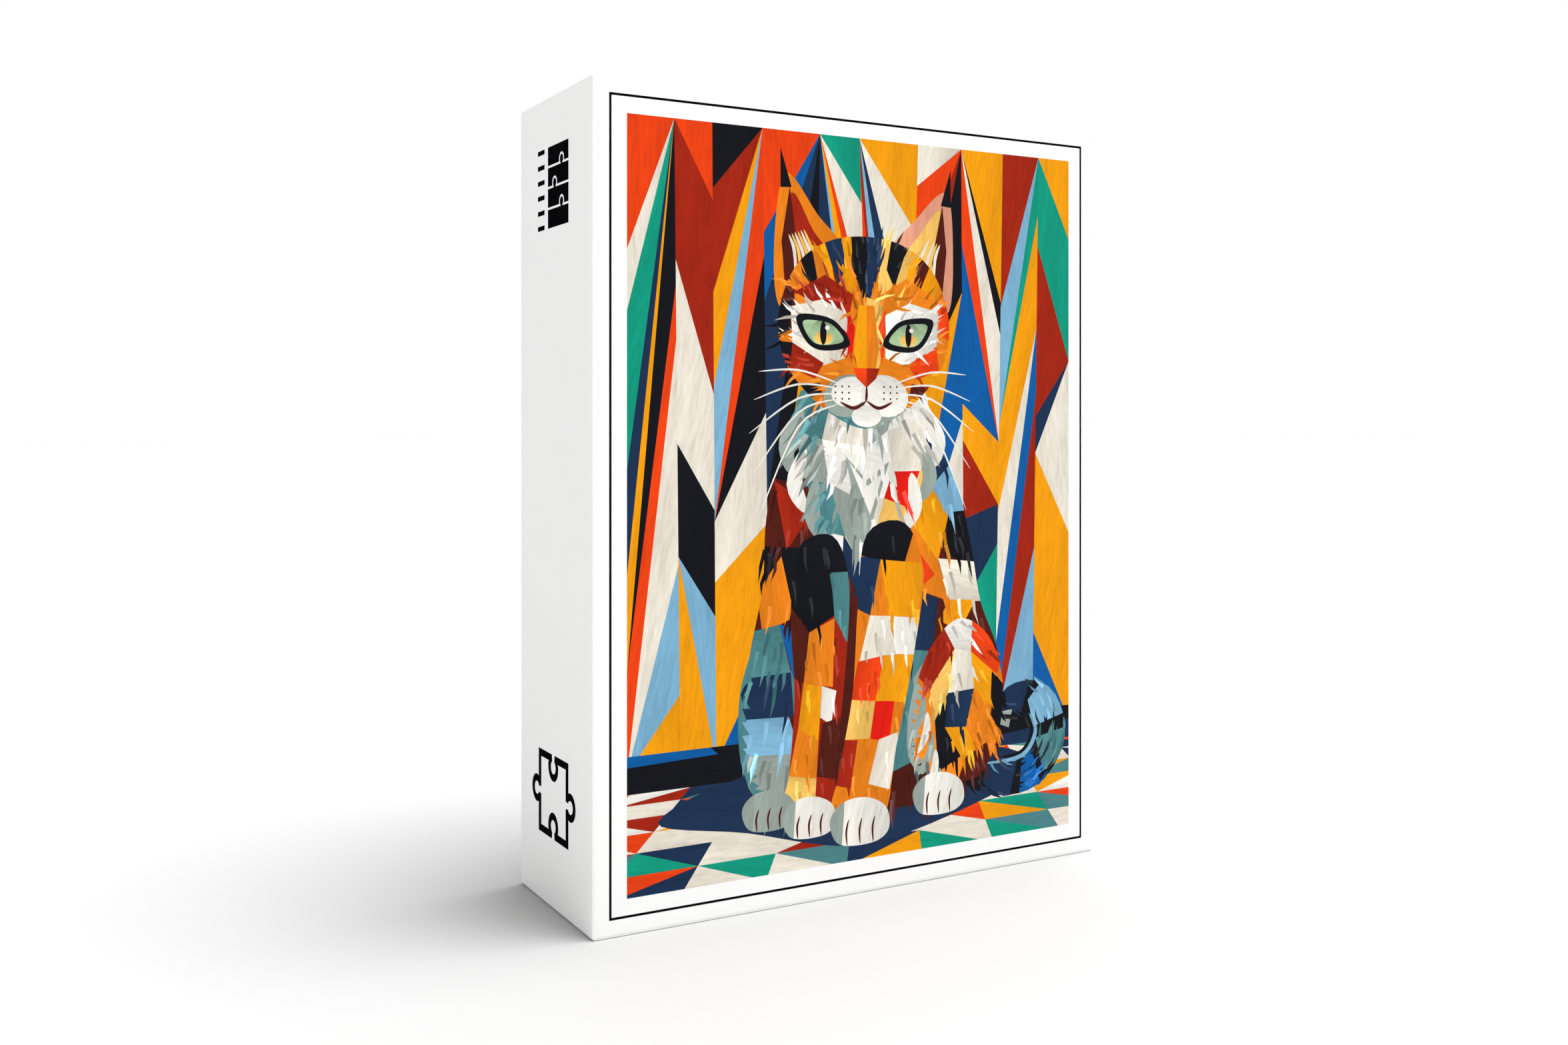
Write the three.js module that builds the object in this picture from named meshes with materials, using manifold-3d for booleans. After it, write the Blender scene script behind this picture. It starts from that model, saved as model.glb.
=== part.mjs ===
// A boxed jigsaw puzzle of about 1000 pieces: a rigid two-part box of greyboard trays covered in
// printed paper, with the jigsaw pieces in a film bag and a folded poster of the picture.
// Millimetres. X is the width, the picture panel faces -Y, and Z is up. The box stands on its short
// bottom edge, with the origin at the centre of its foot.
import * as THREE from 'three';
import { RoundedBoxGeometry } from 'three/addons/geometries/RoundedBoxGeometry.js';
import { mergeVertices } from 'three/addons/utils/BufferGeometryUtils.js';
import Module from 'manifold-3d';

const wasm = await Module();
wasm.setup();

// Driving dimensions of the closed box
const BOX_HEIGHT = 270;
const BOX_WIDTH = 201;
const BOX_DEPTH = 67;

// Tray walls: a greyboard tray, paper stays over its corners, and a printed paper wrap outside
const BOARD = 1.5;
const PAPER = 0.2;
const STAY = 0.12;
const GLUE_GAP = 0.04;
const WRAP_GAP = STAY + 2 * GLUE_GAP;
const WALL = PAPER + WRAP_GAP + BOARD;
const TURN_IN = 15;
const EDGE_RADIUS = 1.2;
const INNER_EDGE_RADIUS = 0.3;
const STAY_LEG = 14;
const STAY_END_GAP = 3;

// Fit of the lid over the base
const RUNNING_CLEARANCE = 0.6;
const HEAD_CLEARANCE = 0.5;
const LID_SHORT_OF_BACK = 0.5;

// Jigsaw pieces: a 700 x 500 picture cut 38 by 27
const PIECE_PITCH = 18.4;
const PIECE_THICKNESS = 1.9;
const KNOB_RADIUS = 2.5;
const KNOB_REACH = 2.1;
const NECK_HALF_WIDTH = 1.6;
const NECK_FLARE = 1.3;
const KNOB_STEPS = 6;
const KNOB_PATTERN = 7;
const COLOUR_STEP = 3;

// Contents
const CONTENTS_CLEARANCE = 1.2;
const FILM = 0.3;
const BAG_FRONT_GAP = 4;
const BAG_TOP = 228;
const FILL_TOP = 150;
const SEAL_HEIGHT = 10;
const VENT_RADIUS = 3;
const VENT_SIDES = 16;
const VENT_BELOW_FILL = 20;
const PIECE_COLUMNS = 6;
const PIECE_ROWS = 5;
const PIECE_SPACING = 27;
const FIRST_ROW = 20.5;
const PIECE_LAYER = 8;
const HEAP_CLEARANCE = 1;
const POSTER_WIDTH = 350;
const POSTER_HEIGHT = 250;
const POSTER_PAPER = 0.2;
const POSTER_FOLD_GAP = 0.6;
const POSTER_FRONT_GAP = 0.9;

// Shape of the bag: a rounded foot, straight sides up to the fill, then a slack top that leans
// back and tapers to a flat seal. The heap inside has the same foot and a low crown.
const FOOT_ROUND = 7;
const FOOT_TUCK = 5;
const FOOT_CORNER = 8;
const BODY_CORNER = 11;
const TAPER_STEP = 24;
const TAPER_DEPTH = 12;
const SHOULDER_CORNER = 9;
const NECK_CORNER = 4;
const NECK_LENGTH = 4;
const NECK_THICKNESS = 3;
const SEAL_NARROWING = 1;
const SEAL_THICKNESS = 1.6;
const SEAL_STAND_OFF = 1.4;
const SEAL_CORNER = 0.4;
const CROWN_SHOULDER = { up: 4, narrower: 10, front: 5, back: 2 };
const CROWN_TOP = { up: 12, narrower: 34, front: 12, back: 6 };
const CROWN_BEGINS = 14;

const paperWhite = new THREE.MeshStandardMaterial({ color: 0xf6f5f2, roughness: 0.38 });
const greyboard = new THREE.MeshStandardMaterial({ color: 0x9d978d, roughness: 0.92 });
const stayPaper = new THREE.MeshStandardMaterial({ color: 0xc8b189, roughness: 0.85 });
const film = new THREE.MeshStandardMaterial({
  color: 0xe9eef0, roughness: 0.2, transparent: true, opacity: 0.35,
});
const posterPaper = new THREE.MeshStandardMaterial({ color: 0xf1efe9, roughness: 0.45 });
const heapCard = new THREE.MeshStandardMaterial({ color: 0xb2a493, roughness: 0.8 });
const PRINT_COLOURS = [0xe2431e, 0xf2a51d, 0x1f4f9e, 0x11141c, 0x1d9a78, 0xece6da, 0x8fb4dc, 0x8c2f1b];
const printedCard = PRINT_COLOURS.map((color) => new THREE.MeshStandardMaterial({ color, roughness: 0.5 }));

const model = new THREE.Group();

function solidOf(geometry) {
  geometry.deleteAttribute('normal');
  geometry.deleteAttribute('uv');
  const merged = mergeVertices(geometry);
  return new wasm.Manifold(new wasm.Mesh({
    numProp: 3,
    vertProperties: merged.attributes.position.array,
    triVerts: new Uint32Array(merged.index.array),
  }));
}

function geometryOf(solid) {
  const mesh = solid.getMesh();
  const geometry = new THREE.BufferGeometry();
  geometry.setAttribute('position', new THREE.BufferAttribute(mesh.vertProperties, mesh.numProp));
  geometry.setIndex(new THREE.BufferAttribute(mesh.triVerts, 1));
  geometry.computeVertexNormals();
  return geometry;
}

function addPiece(name, geometry, material) {
  const mesh = new THREE.Mesh(geometry, material);
  mesh.name = name;
  model.add(mesh);
  return mesh;
}

// An upright block between two corners. With a radius its edges are rounded.
function block([x0, y0, z0], [x1, y1, z1], radius = 0) {
  const size = [x1 - x0, y1 - y0, z1 - z0];
  const geometry = radius > 0 ? new RoundedBoxGeometry(...size, 2, radius) : new THREE.BoxGeometry(...size);
  geometry.translate((x0 + x1) / 2, (y0 + y1) / 2, (z0 + z1) / 2);
  return solidOf(geometry);
}

// A tray is known by the block it fills: its panel lies at yPanel and its open rim at yRim.
// trayBody is that block, pulled in by inset on every closed side, and cut off flat at the rim.
function trayBody(tray, inset) {
  const outward = Math.sign(tray.yRim - tray.yPanel);
  const panel = tray.yPanel + outward * inset;
  const beyond = tray.yRim + outward * 2 * EDGE_RADIUS;
  const half = tray.halfWidth - inset;
  return block(
    [-half, Math.min(panel, beyond), tray.zLow + inset],
    [half, Math.max(panel, beyond), tray.zHigh - inset],
    Math.max(EDGE_RADIUS - inset, INNER_EDGE_RADIUS),
  );
}

// Everything between two distances from the rim, measured into the tray.
function rimBand(tray, from, to) {
  const inward = Math.sign(tray.yPanel - tray.yRim);
  const ends = [tray.yRim + inward * from, tray.yRim + inward * to];
  return block(
    [-BOX_WIDTH, Math.min(...ends), -BOX_HEIGHT],
    [BOX_WIDTH, Math.max(...ends), 2 * BOX_HEIGHT],
  );
}

function trayShell(tray, outerInset, innerInset, rimInset) {
  const depth = Math.abs(tray.yPanel - tray.yRim);
  return trayBody(tray, outerInset)
    .intersect(rimBand(tray, rimInset, depth + 1))
    .subtract(trayBody(tray, innerInset));
}

function boardOf(tray) {
  return trayShell(tray, PAPER + WRAP_GAP, WALL, PAPER + GLUE_GAP);
}

// The wrap covers the outside, folds over the rim and is glued down inside it.
function wrapOf(tray) {
  const flapOuter = WALL + GLUE_GAP;
  const flapInner = flapOuter + PAPER;
  const skin = trayShell(tray, 0, PAPER, 0);
  const fold = trayShell(tray, 0, flapInner, 0).intersect(rimBand(tray, 0, PAPER));
  const flap = trayShell(tray, flapOuter, flapInner, 0).intersect(rimBand(tray, 0, TURN_IN));
  return skin.add(fold).add(flap);
}

// One bent strip of paper over the corner between two side walls, under the wrap.
function cornerStay(tray, sideX, sideZ) {
  const depth = Math.abs(tray.yPanel - tray.yRim);
  const corner = {
    x: sideX * tray.halfWidth,
    z: sideZ > 0 ? tray.zHigh : tray.zLow,
  };
  const reach = block(
    [corner.x - STAY_LEG, -BOX_DEPTH, corner.z - STAY_LEG],
    [corner.x + STAY_LEG, BOX_DEPTH, corner.z + STAY_LEG],
  );
  return trayShell(tray, PAPER + GLUE_GAP, PAPER + GLUE_GAP + STAY, 0)
    .intersect(rimBand(tray, STAY_END_GAP, depth - STAY_END_GAP))
    .intersect(reach);
}

function addTray(name, tray) {
  addPiece(`${name}_board`, geometryOf(boardOf(tray)), greyboard);
  addPiece(`${name}_wrap`, geometryOf(wrapOf(tray)), paperWhite);
  const corners = [[-1, -1], [1, -1], [1, 1], [-1, 1]];
  corners.forEach(([sideX, sideZ], index) => {
    addPiece(`${name}_corner_stay_${index + 1}`, geometryOf(cornerStay(tray, sideX, sideZ)), stayPaper);
  });
}

const lid = {
  halfWidth: BOX_WIDTH / 2,
  zLow: 0,
  zHigh: BOX_HEIGHT,
  yPanel: -BOX_DEPTH / 2,
  yRim: BOX_DEPTH / 2 - LID_SHORT_OF_BACK,
};
const FOLDED_WALL = WALL + GLUE_GAP + PAPER;
const BASE_INSET = FOLDED_WALL + RUNNING_CLEARANCE;
const base = {
  halfWidth: lid.halfWidth - BASE_INSET,
  zLow: lid.zLow + BASE_INSET,
  zHigh: lid.zHigh - BASE_INSET,
  yPanel: BOX_DEPTH / 2,
  yRim: lid.yPanel + WALL + HEAD_CLEARANCE,
};
addTray('lid', lid);
addTray('base', base);

// The room inside the base for the contents
const room = {
  halfWidth: base.halfWidth - FOLDED_WALL - CONTENTS_CLEARANCE,
  floor: base.zLow + FOLDED_WALL + CONTENTS_CLEARANCE,
  front: base.yRim + POSTER_FRONT_GAP,
  back: base.yPanel - WALL - CONTENTS_CLEARANCE,
};

// Poster: printed sheet folded once, its two leaves standing in front of the bag.
function posterGeometry() {
  const leaf = POSTER_WIDTH / 2;
  const bend = POSTER_FOLD_GAP / 2;
  const outer = bend + POSTER_PAPER;
  const outline = new THREE.Shape();
  outline.moveTo(leaf, -outer);
  outline.lineTo(leaf, -bend);
  outline.lineTo(outer, -bend);
  outline.absarc(outer, 0, bend, -Math.PI / 2, Math.PI / 2, true);
  outline.lineTo(leaf, bend);
  outline.lineTo(leaf, outer);
  outline.lineTo(outer, outer);
  outline.absarc(outer, 0, outer, Math.PI / 2, -Math.PI / 2, false);
  outline.closePath();
  const geometry = new THREE.ExtrudeGeometry(outline, {
    depth: POSTER_HEIGHT, bevelEnabled: false, curveSegments: 6,
  });
  geometry.translate(-leaf / 2, outer, 0);
  return geometryOf(solidOf(geometry));
}

const poster = addPiece('picture_poster', posterGeometry(), posterPaper);
poster.position.set(0, room.front, room.floor);

// A closed skin through level rounded rectangles, each { z, half, front, back, corner }.
function loft(sections) {
  const cornerSteps = 4;
  const ring = 4 * (cornerSteps + 1);
  const points = [];
  for (const { z, half, front, back, corner } of sections) {
    const centres = [
      [half - corner, back - corner], [corner - half, back - corner],
      [corner - half, front + corner], [half - corner, front + corner],
    ];
    centres.forEach(([x, y], quarter) => {
      for (let step = 0; step <= cornerSteps; step += 1) {
        const angle = (quarter + step / cornerSteps) * Math.PI / 2;
        points.push(x + corner * Math.cos(angle), y + corner * Math.sin(angle), z);
      }
    });
  }
  const faces = [];
  for (let level = 0; level + 1 < sections.length; level += 1) {
    for (let step = 0; step < ring; step += 1) {
      const here = level * ring + step;
      const next = level * ring + (step + 1) % ring;
      faces.push(here, next, next + ring, here, next + ring, here + ring);
    }
  }
  const top = (sections.length - 1) * ring;
  for (let step = 1; step + 1 < ring; step += 1) {
    faces.push(0, step + 1, step);
    faces.push(top, top + step, top + step + 1);
  }
  const geometry = new THREE.BufferGeometry();
  geometry.setAttribute('position', new THREE.BufferAttribute(new Float32Array(points), 3));
  geometry.setIndex(faces);
  return solidOf(geometry);
}

const bag = {
  half: room.halfWidth,
  front: room.front + BAG_FRONT_GAP,
  back: room.back,
};

// The filled pouch and its slack top, which leans on the back panel and is sealed flat.
function bagSections(inset) {
  const half = bag.half - inset;
  const front = bag.front + inset;
  const back = bag.back - inset;
  const slackHalf = half - SEAL_NARROWING;
  const neckTop = BAG_TOP - SEAL_HEIGHT;
  const sealTop = inset > 0 ? neckTop : BAG_TOP;
  return [
    {
      z: room.floor + inset,
      half: half - FOOT_ROUND,
      front: front + FOOT_TUCK,
      back: back - FOOT_TUCK,
      corner: FOOT_CORNER,
    },
    { z: room.floor + FOOT_ROUND, half, front, back, corner: BODY_CORNER },
    { z: FILL_TOP, half, front, back, corner: BODY_CORNER },
    {
      z: FILL_TOP + TAPER_STEP,
      half: half - SEAL_NARROWING / 2,
      front: front + TAPER_DEPTH,
      back,
      corner: SHOULDER_CORNER,
    },
    {
      z: FILL_TOP + 2 * TAPER_STEP,
      half: slackHalf,
      front: back - TAPER_DEPTH,
      back,
      corner: NECK_CORNER,
    },
    {
      z: neckTop - NECK_LENGTH,
      half: slackHalf,
      front: back - NECK_THICKNESS - SEAL_NARROWING + inset,
      back: back - SEAL_NARROWING,
      corner: SEAL_NARROWING,
    },
    {
      z: sealTop,
      half: slackHalf,
      front: back - SEAL_STAND_OFF - SEAL_THICKNESS + inset,
      back: back - SEAL_STAND_OFF,
      corner: SEAL_CORNER,
    },
  ];
}

function bagSolid() {
  let solid = loft(bagSections(0)).subtract(loft(bagSections(FILM)));
  for (const side of [-1, 1]) {
    const vent = new THREE.CylinderGeometry(VENT_RADIUS, VENT_RADIUS, PIECE_LAYER, VENT_SIDES);
    vent.translate(side * bag.half / 2, bag.front, FILL_TOP - VENT_BELOW_FILL);
    solid = solid.subtract(solidOf(vent));
  }
  return solid;
}

addPiece('piece_bag', geometryOf(bagSolid()), film);

// The bulk of the pieces, behind the layer that lies against the bag's front.
function heapSolid() {
  const half = bag.half - HEAP_CLEARANCE;
  const front = bag.front + PIECE_LAYER;
  const back = bag.back - HEAP_CLEARANCE;
  const foot = room.floor + 2 * HEAP_CLEARANCE;
  const crown = (level, corner) => ({
    z: FILL_TOP + level.up,
    half: half - level.narrower,
    front: front + level.front,
    back: back - level.back,
    corner,
  });
  return loft([
    {
      z: foot,
      half: half - FOOT_ROUND,
      front: front + FOOT_TUCK,
      back: back - FOOT_TUCK,
      corner: FOOT_CORNER,
    },
    { z: foot + FOOT_ROUND, half, front, back, corner: BODY_CORNER },
    { z: FILL_TOP - CROWN_BEGINS, half, front, back, corner: BODY_CORNER },
    crown(CROWN_SHOULDER, BODY_CORNER),
    crown(CROWN_TOP, SHOULDER_CORNER),
  ]);
}

addPiece('loose_piece_heap', geometryOf(heapSolid()), heapCard);

// One jigsaw piece in its own plane. Each side has a knob (1) or a socket (-1).
function pieceOutline(sides) {
  const half = PIECE_PITCH / 2;
  const neckAngle = Math.asin(NECK_HALF_WIDTH / KNOB_RADIUS);
  const points = [];
  sides.forEach((out, side) => {
    const turn = side * Math.PI / 2;
    const place = (along, away) => points.push(new THREE.Vector2(
      along * Math.cos(turn) + away * Math.sin(turn),
      along * Math.sin(turn) - away * Math.cos(turn),
    ));
    place(-half, half);
    place(-NECK_HALF_WIDTH * NECK_FLARE, half);
    for (let step = 0; step <= KNOB_STEPS; step += 1) {
      const angle = -Math.PI + neckAngle + step / KNOB_STEPS * 2 * (Math.PI - neckAngle);
      place(KNOB_RADIUS * Math.sin(angle), half + out * (KNOB_REACH + KNOB_RADIUS * Math.cos(angle)));
    }
    place(NECK_HALF_WIDTH * NECK_FLARE, half);
  });
  return new THREE.Shape(points);
}

// Each loose piece differs: its knobs come from the bits of its number, and its lie from the
// golden ratio.
const GOLDEN = (Math.sqrt(5) - 1) / 2;
const MAX_TILT = THREE.MathUtils.degToRad(7);
function addLoosePiece(index) {
  const sides = [0, 1, 2, 3].map((bit) => (((index * KNOB_PATTERN) >> bit) & 1 ? 1 : -1));
  const geometry = new THREE.ExtrudeGeometry(pieceOutline(sides), {
    depth: PIECE_THICKNESS, bevelEnabled: false,
  });
  const spread = (step) => ((index + 1) * GOLDEN * step) % 1;
  geometry.translate(0, 0, -PIECE_THICKNESS / 2);
  geometry.rotateZ(2 * Math.PI * spread(1));
  const name = `jigsaw_piece_${String(index + 1).padStart(2, '0')}`;
  const solid = geometryOf(solidOf(geometry));
  const piece = addPiece(name, solid, printedCard[(index * COLOUR_STEP) % printedCard.length]);
  const column = index % PIECE_COLUMNS;
  const row = Math.floor(index / PIECE_COLUMNS);
  piece.rotation.order = 'ZXY';
  piece.rotation.x = Math.PI / 2 + MAX_TILT * (2 * spread(2) - 1);
  piece.rotation.z = MAX_TILT * (2 * spread(3) - 1);
  piece.position.set(
    (column - (PIECE_COLUMNS - 1) / 2) * PIECE_SPACING,
    bag.front + FILM + PIECE_LAYER / 2,
    room.floor + FIRST_ROW + row * PIECE_SPACING,
  );
}

for (let index = 0; index < PIECE_COLUMNS * PIECE_ROWS; index += 1) {
  addLoosePiece(index);
}

export default model;
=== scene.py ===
"""The looks of the boxed jigsaw puzzle: printed paper, greyboard, film and the jigsaw pieces inside.
Everything is in metres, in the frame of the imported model. X is the width, the picture faces -Y."""
import math
import random

import bmesh
import bpy
from mathutils import Matrix, Vector, geometry, noise


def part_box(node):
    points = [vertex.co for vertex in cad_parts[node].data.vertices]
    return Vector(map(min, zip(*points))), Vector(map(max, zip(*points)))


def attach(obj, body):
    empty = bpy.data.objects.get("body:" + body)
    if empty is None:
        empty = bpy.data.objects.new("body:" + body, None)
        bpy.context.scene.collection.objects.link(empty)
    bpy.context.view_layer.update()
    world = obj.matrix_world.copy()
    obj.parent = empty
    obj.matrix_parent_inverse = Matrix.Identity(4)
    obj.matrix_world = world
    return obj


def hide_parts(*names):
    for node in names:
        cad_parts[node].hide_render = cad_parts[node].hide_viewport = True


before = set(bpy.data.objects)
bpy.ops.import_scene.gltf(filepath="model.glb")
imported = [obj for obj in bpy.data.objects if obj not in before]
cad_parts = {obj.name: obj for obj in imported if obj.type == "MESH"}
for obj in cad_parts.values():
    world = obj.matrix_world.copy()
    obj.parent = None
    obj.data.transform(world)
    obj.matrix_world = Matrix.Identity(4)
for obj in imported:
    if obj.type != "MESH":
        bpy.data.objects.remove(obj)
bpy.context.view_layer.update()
scene = bpy.context.scene
MM = 0.001

lid_low, lid_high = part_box("lid_wrap")
HEIGHT = lid_high.z - lid_low.z
WIDTH = lid_high.x - lid_low.x

# ---------------------------------------------------------------- camera, light and floor

# Where the eye is, from the box's near lower corner and in box heights
EYE_FROM_CORNER = Vector((-0.6362, -1.5927, 0.5992))
CAMERA_LENS, CAMERA_SHIFT, CAMERA_HEADING = 34.0, -0.065, -29.15
camera_data = bpy.data.cameras.new("camera")
camera_data.lens = CAMERA_LENS
camera_data.shift_y = CAMERA_SHIFT
camera_data.clip_start = 0.01
camera = bpy.data.objects.new("camera", camera_data)
camera.location = lid_low + EYE_FROM_CORNER * HEIGHT
camera.rotation_euler = (math.radians(90), 0, math.radians(CAMERA_HEADING))
scene.collection.objects.link(camera)
scene.camera = camera
scene.view_settings.view_transform = "Standard"


def soft_light(name, towards, spread, strength):
    """A broad, distant studio light that shines along towards."""
    data = bpy.data.lights.new(name, "SUN")
    data.energy = strength
    data.angle = math.radians(spread)
    light = bpy.data.objects.new(name, data)
    light.rotation_euler = Vector(towards).to_track_quat("-Z", "Y").to_euler()
    scene.collection.objects.link(light)


# Two steep keys throw the shadows; fills near the floor's level light the front and the spine.
KEY_LEANING = math.radians(18)
KEY_SPREAD, FILL_SPREAD = 36, 40
for name, turned, strength in (("key", 40, 4.5), ("back_key", -35, 1.35)):
    along_x, along_y = math.cos(math.radians(turned)), math.sin(math.radians(turned))
    level = math.sin(KEY_LEANING)
    soft_light(name, (-level * along_x, level * along_y, -math.cos(KEY_LEANING)), KEY_SPREAD, strength)
soft_light("side_fill", (1.0, 0.35, -0.04), FILL_SPREAD, 0.8)
soft_light("front_fill", (0.0, 1.0, -0.1), FILL_SPREAD, 0.3)

# The studio is white all round, and dimmer overhead, so that the floor keeps its contact shadow.
SKY_EDGE, SKY_TOP, OVERHEAD = 0.36, 0.5, 0.06
world = bpy.data.worlds.new("studio")
world.use_nodes = True
sky = world.node_tree.nodes
towards = sky.new("ShaderNodeTexCoord")
height = sky.new("ShaderNodeSeparateXYZ")
shade = sky.new("ShaderNodeValToRGB")
for element, (position, level) in zip(shade.color_ramp.elements, ((SKY_EDGE, 1.0), (SKY_TOP, OVERHEAD))):
    element.position = position
    element.color = (level, level, level, 1)
world.node_tree.links.new(towards.outputs["Generated"], height.inputs[0])
world.node_tree.links.new(height.outputs["Z"], shade.inputs["Fac"])
world.node_tree.links.new(shade.outputs["Color"], sky["Background"].inputs["Color"])
scene.world = world

floor_mesh = bpy.data.meshes.new("floor")
FLOOR_REACH = 12.0
floor_corners = [(x * FLOOR_REACH, y * FLOOR_REACH, 0) for x, y in ((-1, -1), (1, -1), (1, 1), (-1, 1))]
floor_mesh.from_pydata(floor_corners, [], [(0, 1, 2, 3)])
floor = bpy.data.objects.new("floor", floor_mesh)
scene.collection.objects.link(floor)

# ---------------------------------------------------------------- materials

PALETTE = {
    "amber": "f9a20a", "red": "f2440f", "blue": "0a5fa8", "navy": "1b3252", "black": "111219",
    "cream": "f0e8d8", "teal": "0d9c80", "sky": "7fb4d3", "brown": "a8260f", "grey": "9daaa2",
    "orange": "ee8418", "slate": "4e868a", "umber": "571b12", "scarlet": "e91c0c", "white": "f6f3ea",
    "honey": "fbc765", "sage": "a8c69a", "rose": "e8a184",
}


def linear(code):
    """The linear colour of a six-digit screen colour."""
    parts = [int(code[i:i + 2], 16) / 255 for i in (0, 2, 4)]
    return [p / 12.92 if p <= 0.04045 else ((p + 0.055) / 1.055) ** 2.4 for p in parts]


# The print is laid down denser than its screen colours, because the studio lights it up.
PRINT_DENSITY = 0.8
COLOURS = {name: [c * PRINT_DENSITY for c in linear(code)] for name, code in PALETTE.items()}


class Nodes:
    """A material and a short way to add linked nodes to it."""

    def __init__(self, name, roughness, **sockets):
        self.material = bpy.data.materials.new(name)
        self.material.use_nodes = True
        self.tree = self.material.node_tree
        self.shader = self.tree.nodes["Principled BSDF"]
        self.shader.inputs["Roughness"].default_value = roughness
        for socket, value in sockets.items():
            self.shader.inputs[socket.replace("_", " ")].default_value = value

    def add(self, kind, settings=None, **inputs):
        node = self.tree.nodes.new(kind)
        for key, value in (settings or {}).items():
            setattr(node, key, value)
        for key, value in inputs.items():
            socket = node.inputs[int(key[1:])] if key[0] == "_" else node.inputs[key.replace("_", " ")]
            if isinstance(value, bpy.types.NodeSocket):
                self.tree.links.new(value, socket)
            else:
                socket.default_value = value
        return node

    def link(self, output, socket):
        self.tree.links.new(output, self.shader.inputs[socket])

    def object_space(self):
        return self.add("ShaderNodeTexCoord").outputs["Object"]

    def noise(self, vector, scale, detail=3.0, roughness=0.5):
        return self.add("ShaderNodeTexNoise", Vector=vector, Scale=scale, Detail=detail,
                        Roughness=roughness).outputs["Fac"]

    def ramp(self, factor, *stops):
        """A value or colour ramp through (position, value or colour) stops."""
        node = self.add("ShaderNodeValToRGB", Fac=factor)
        band = node.color_ramp
        while len(band.elements) < len(stops):
            band.elements.new(0.5)
        for element, (position, colour) in zip(band.elements, stops):
            element.position = position
            rgb = (colour,) * 3 if isinstance(colour, (int, float)) else colour
            element.color = (*rgb, 1)
        return node.outputs["Color"]

    def mix(self, factor, first, second, blend="MIX"):
        node = self.add("ShaderNodeMix", {"data_type": "RGBA", "blend_type": blend}, _0=factor)
        for socket, value in ((node.inputs[6], first), (node.inputs[7], second)):
            if isinstance(value, bpy.types.NodeSocket):
                self.tree.links.new(value, socket)
            else:
                socket.default_value = (*value, 1)
        return node.outputs[2]

    def math(self, operation, first, second=0.0):
        return self.add("ShaderNodeMath", {"operation": operation}, _0=first, _1=second).outputs[0]

    def vector(self, operation, output, **inputs):
        return self.add("ShaderNodeVectorMath", {"operation": operation}, **inputs).outputs[output]

    def bump(self, height, distance, strength=1.0):
        node = self.add("ShaderNodeBump", Height=height, Distance=distance, Strength=strength)
        self.link(node.outputs["Normal"], "Normal")


def studio_floor():
    m = Nodes("studio_floor", 0.85)
    m.shader.inputs["Base Color"].default_value = (0.5, 0.5, 0.5, 1)
    m.shader.inputs["Specular IOR Level"].default_value = 0.1
    return m.material


floor_mesh.materials.append(studio_floor())


def laminated_paper(name, tint):
    """White litho paper under a satin laminate: fibre grain, faint clouding, and folds darkened by painted
    edge shade mixed with wear.
    """
    m = Nodes(name, 0.4, Specular_IOR_Level=0.35)
    place = m.object_space()
    cloud = m.noise(place, 14, 2)
    fibre = m.noise(place, 900, 4, 0.6)
    colour = m.ramp(cloud, (0.3, [c * 0.985 for c in tint]), (0.7, tint))
    # Painted shade: the convex folded edges are darkened to stand in for their shading, broken up by noise
    # like wear.
    edge = m.add("ShaderNodeNewGeometry").outputs["Pointiness"]
    edge_shade_and_wear = m.math("MULTIPLY", m.ramp(edge, (0.53, 0.0), (0.6, 1.0)),
                  m.ramp(m.noise(place, 160), (0.52, 0.0), (0.68, 1.0)))
    colour = m.mix(edge_shade_and_wear, colour, [c * 0.86 for c in tint])
    m.link(colour, "Base Color")
    m.link(m.ramp(m.noise(place, 60), (0.3, 0.36), (0.7, 0.45)), "Roughness")
    m.bump(fibre, 0.00003, 0.35)
    return m.material


def greyboard():
    """Raw recycled board: grey-brown pulp with darker and lighter specks."""
    m = Nodes("greyboard", 0.93)
    place = m.object_space()
    pulp = m.ramp(m.noise(place, 260, 5, 0.7), (0.3, (0.235, 0.21, 0.18)), (0.7, (0.36, 0.33, 0.29)))
    dark = m.ramp(m.noise(place, 1500, 2), (0.66, 0.0), (0.72, 1.0))
    light = m.ramp(m.noise(place, 1100, 2), (0.68, 0.0), (0.74, 1.0))
    m.link(m.mix(light, m.mix(dark, pulp, (0.1, 0.09, 0.08)), (0.62, 0.6, 0.56)), "Base Color")
    m.bump(m.noise(place, 700, 4, 0.7), 0.00008, 0.7)
    return m.material


def plain_stock(name, roughness, mottle, dark, light, grain, relief):
    """A plain paper or board, mottled between two colours and raised by a fine grain. mottle and grain
    are noise settings, relief is the grain's height and strength."""
    m = Nodes(name, roughness)
    place = m.object_space()
    m.link(m.ramp(m.noise(place, *mottle), (0.3, dark), (0.7, light)), "Base Color")
    m.bump(m.noise(place, *grain), *relief)
    return m.material


def ink(name, colour):
    """Solid printing ink under the laminate."""
    m = Nodes(name, 0.5, Specular_IOR_Level=0.0)
    place = m.object_space()
    m.link(m.ramp(m.noise(place, 500, 3), (0.35, colour), (0.75, [c * 1.35 + 0.002 for c in colour])),
           "Base Color")
    return m.material


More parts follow.
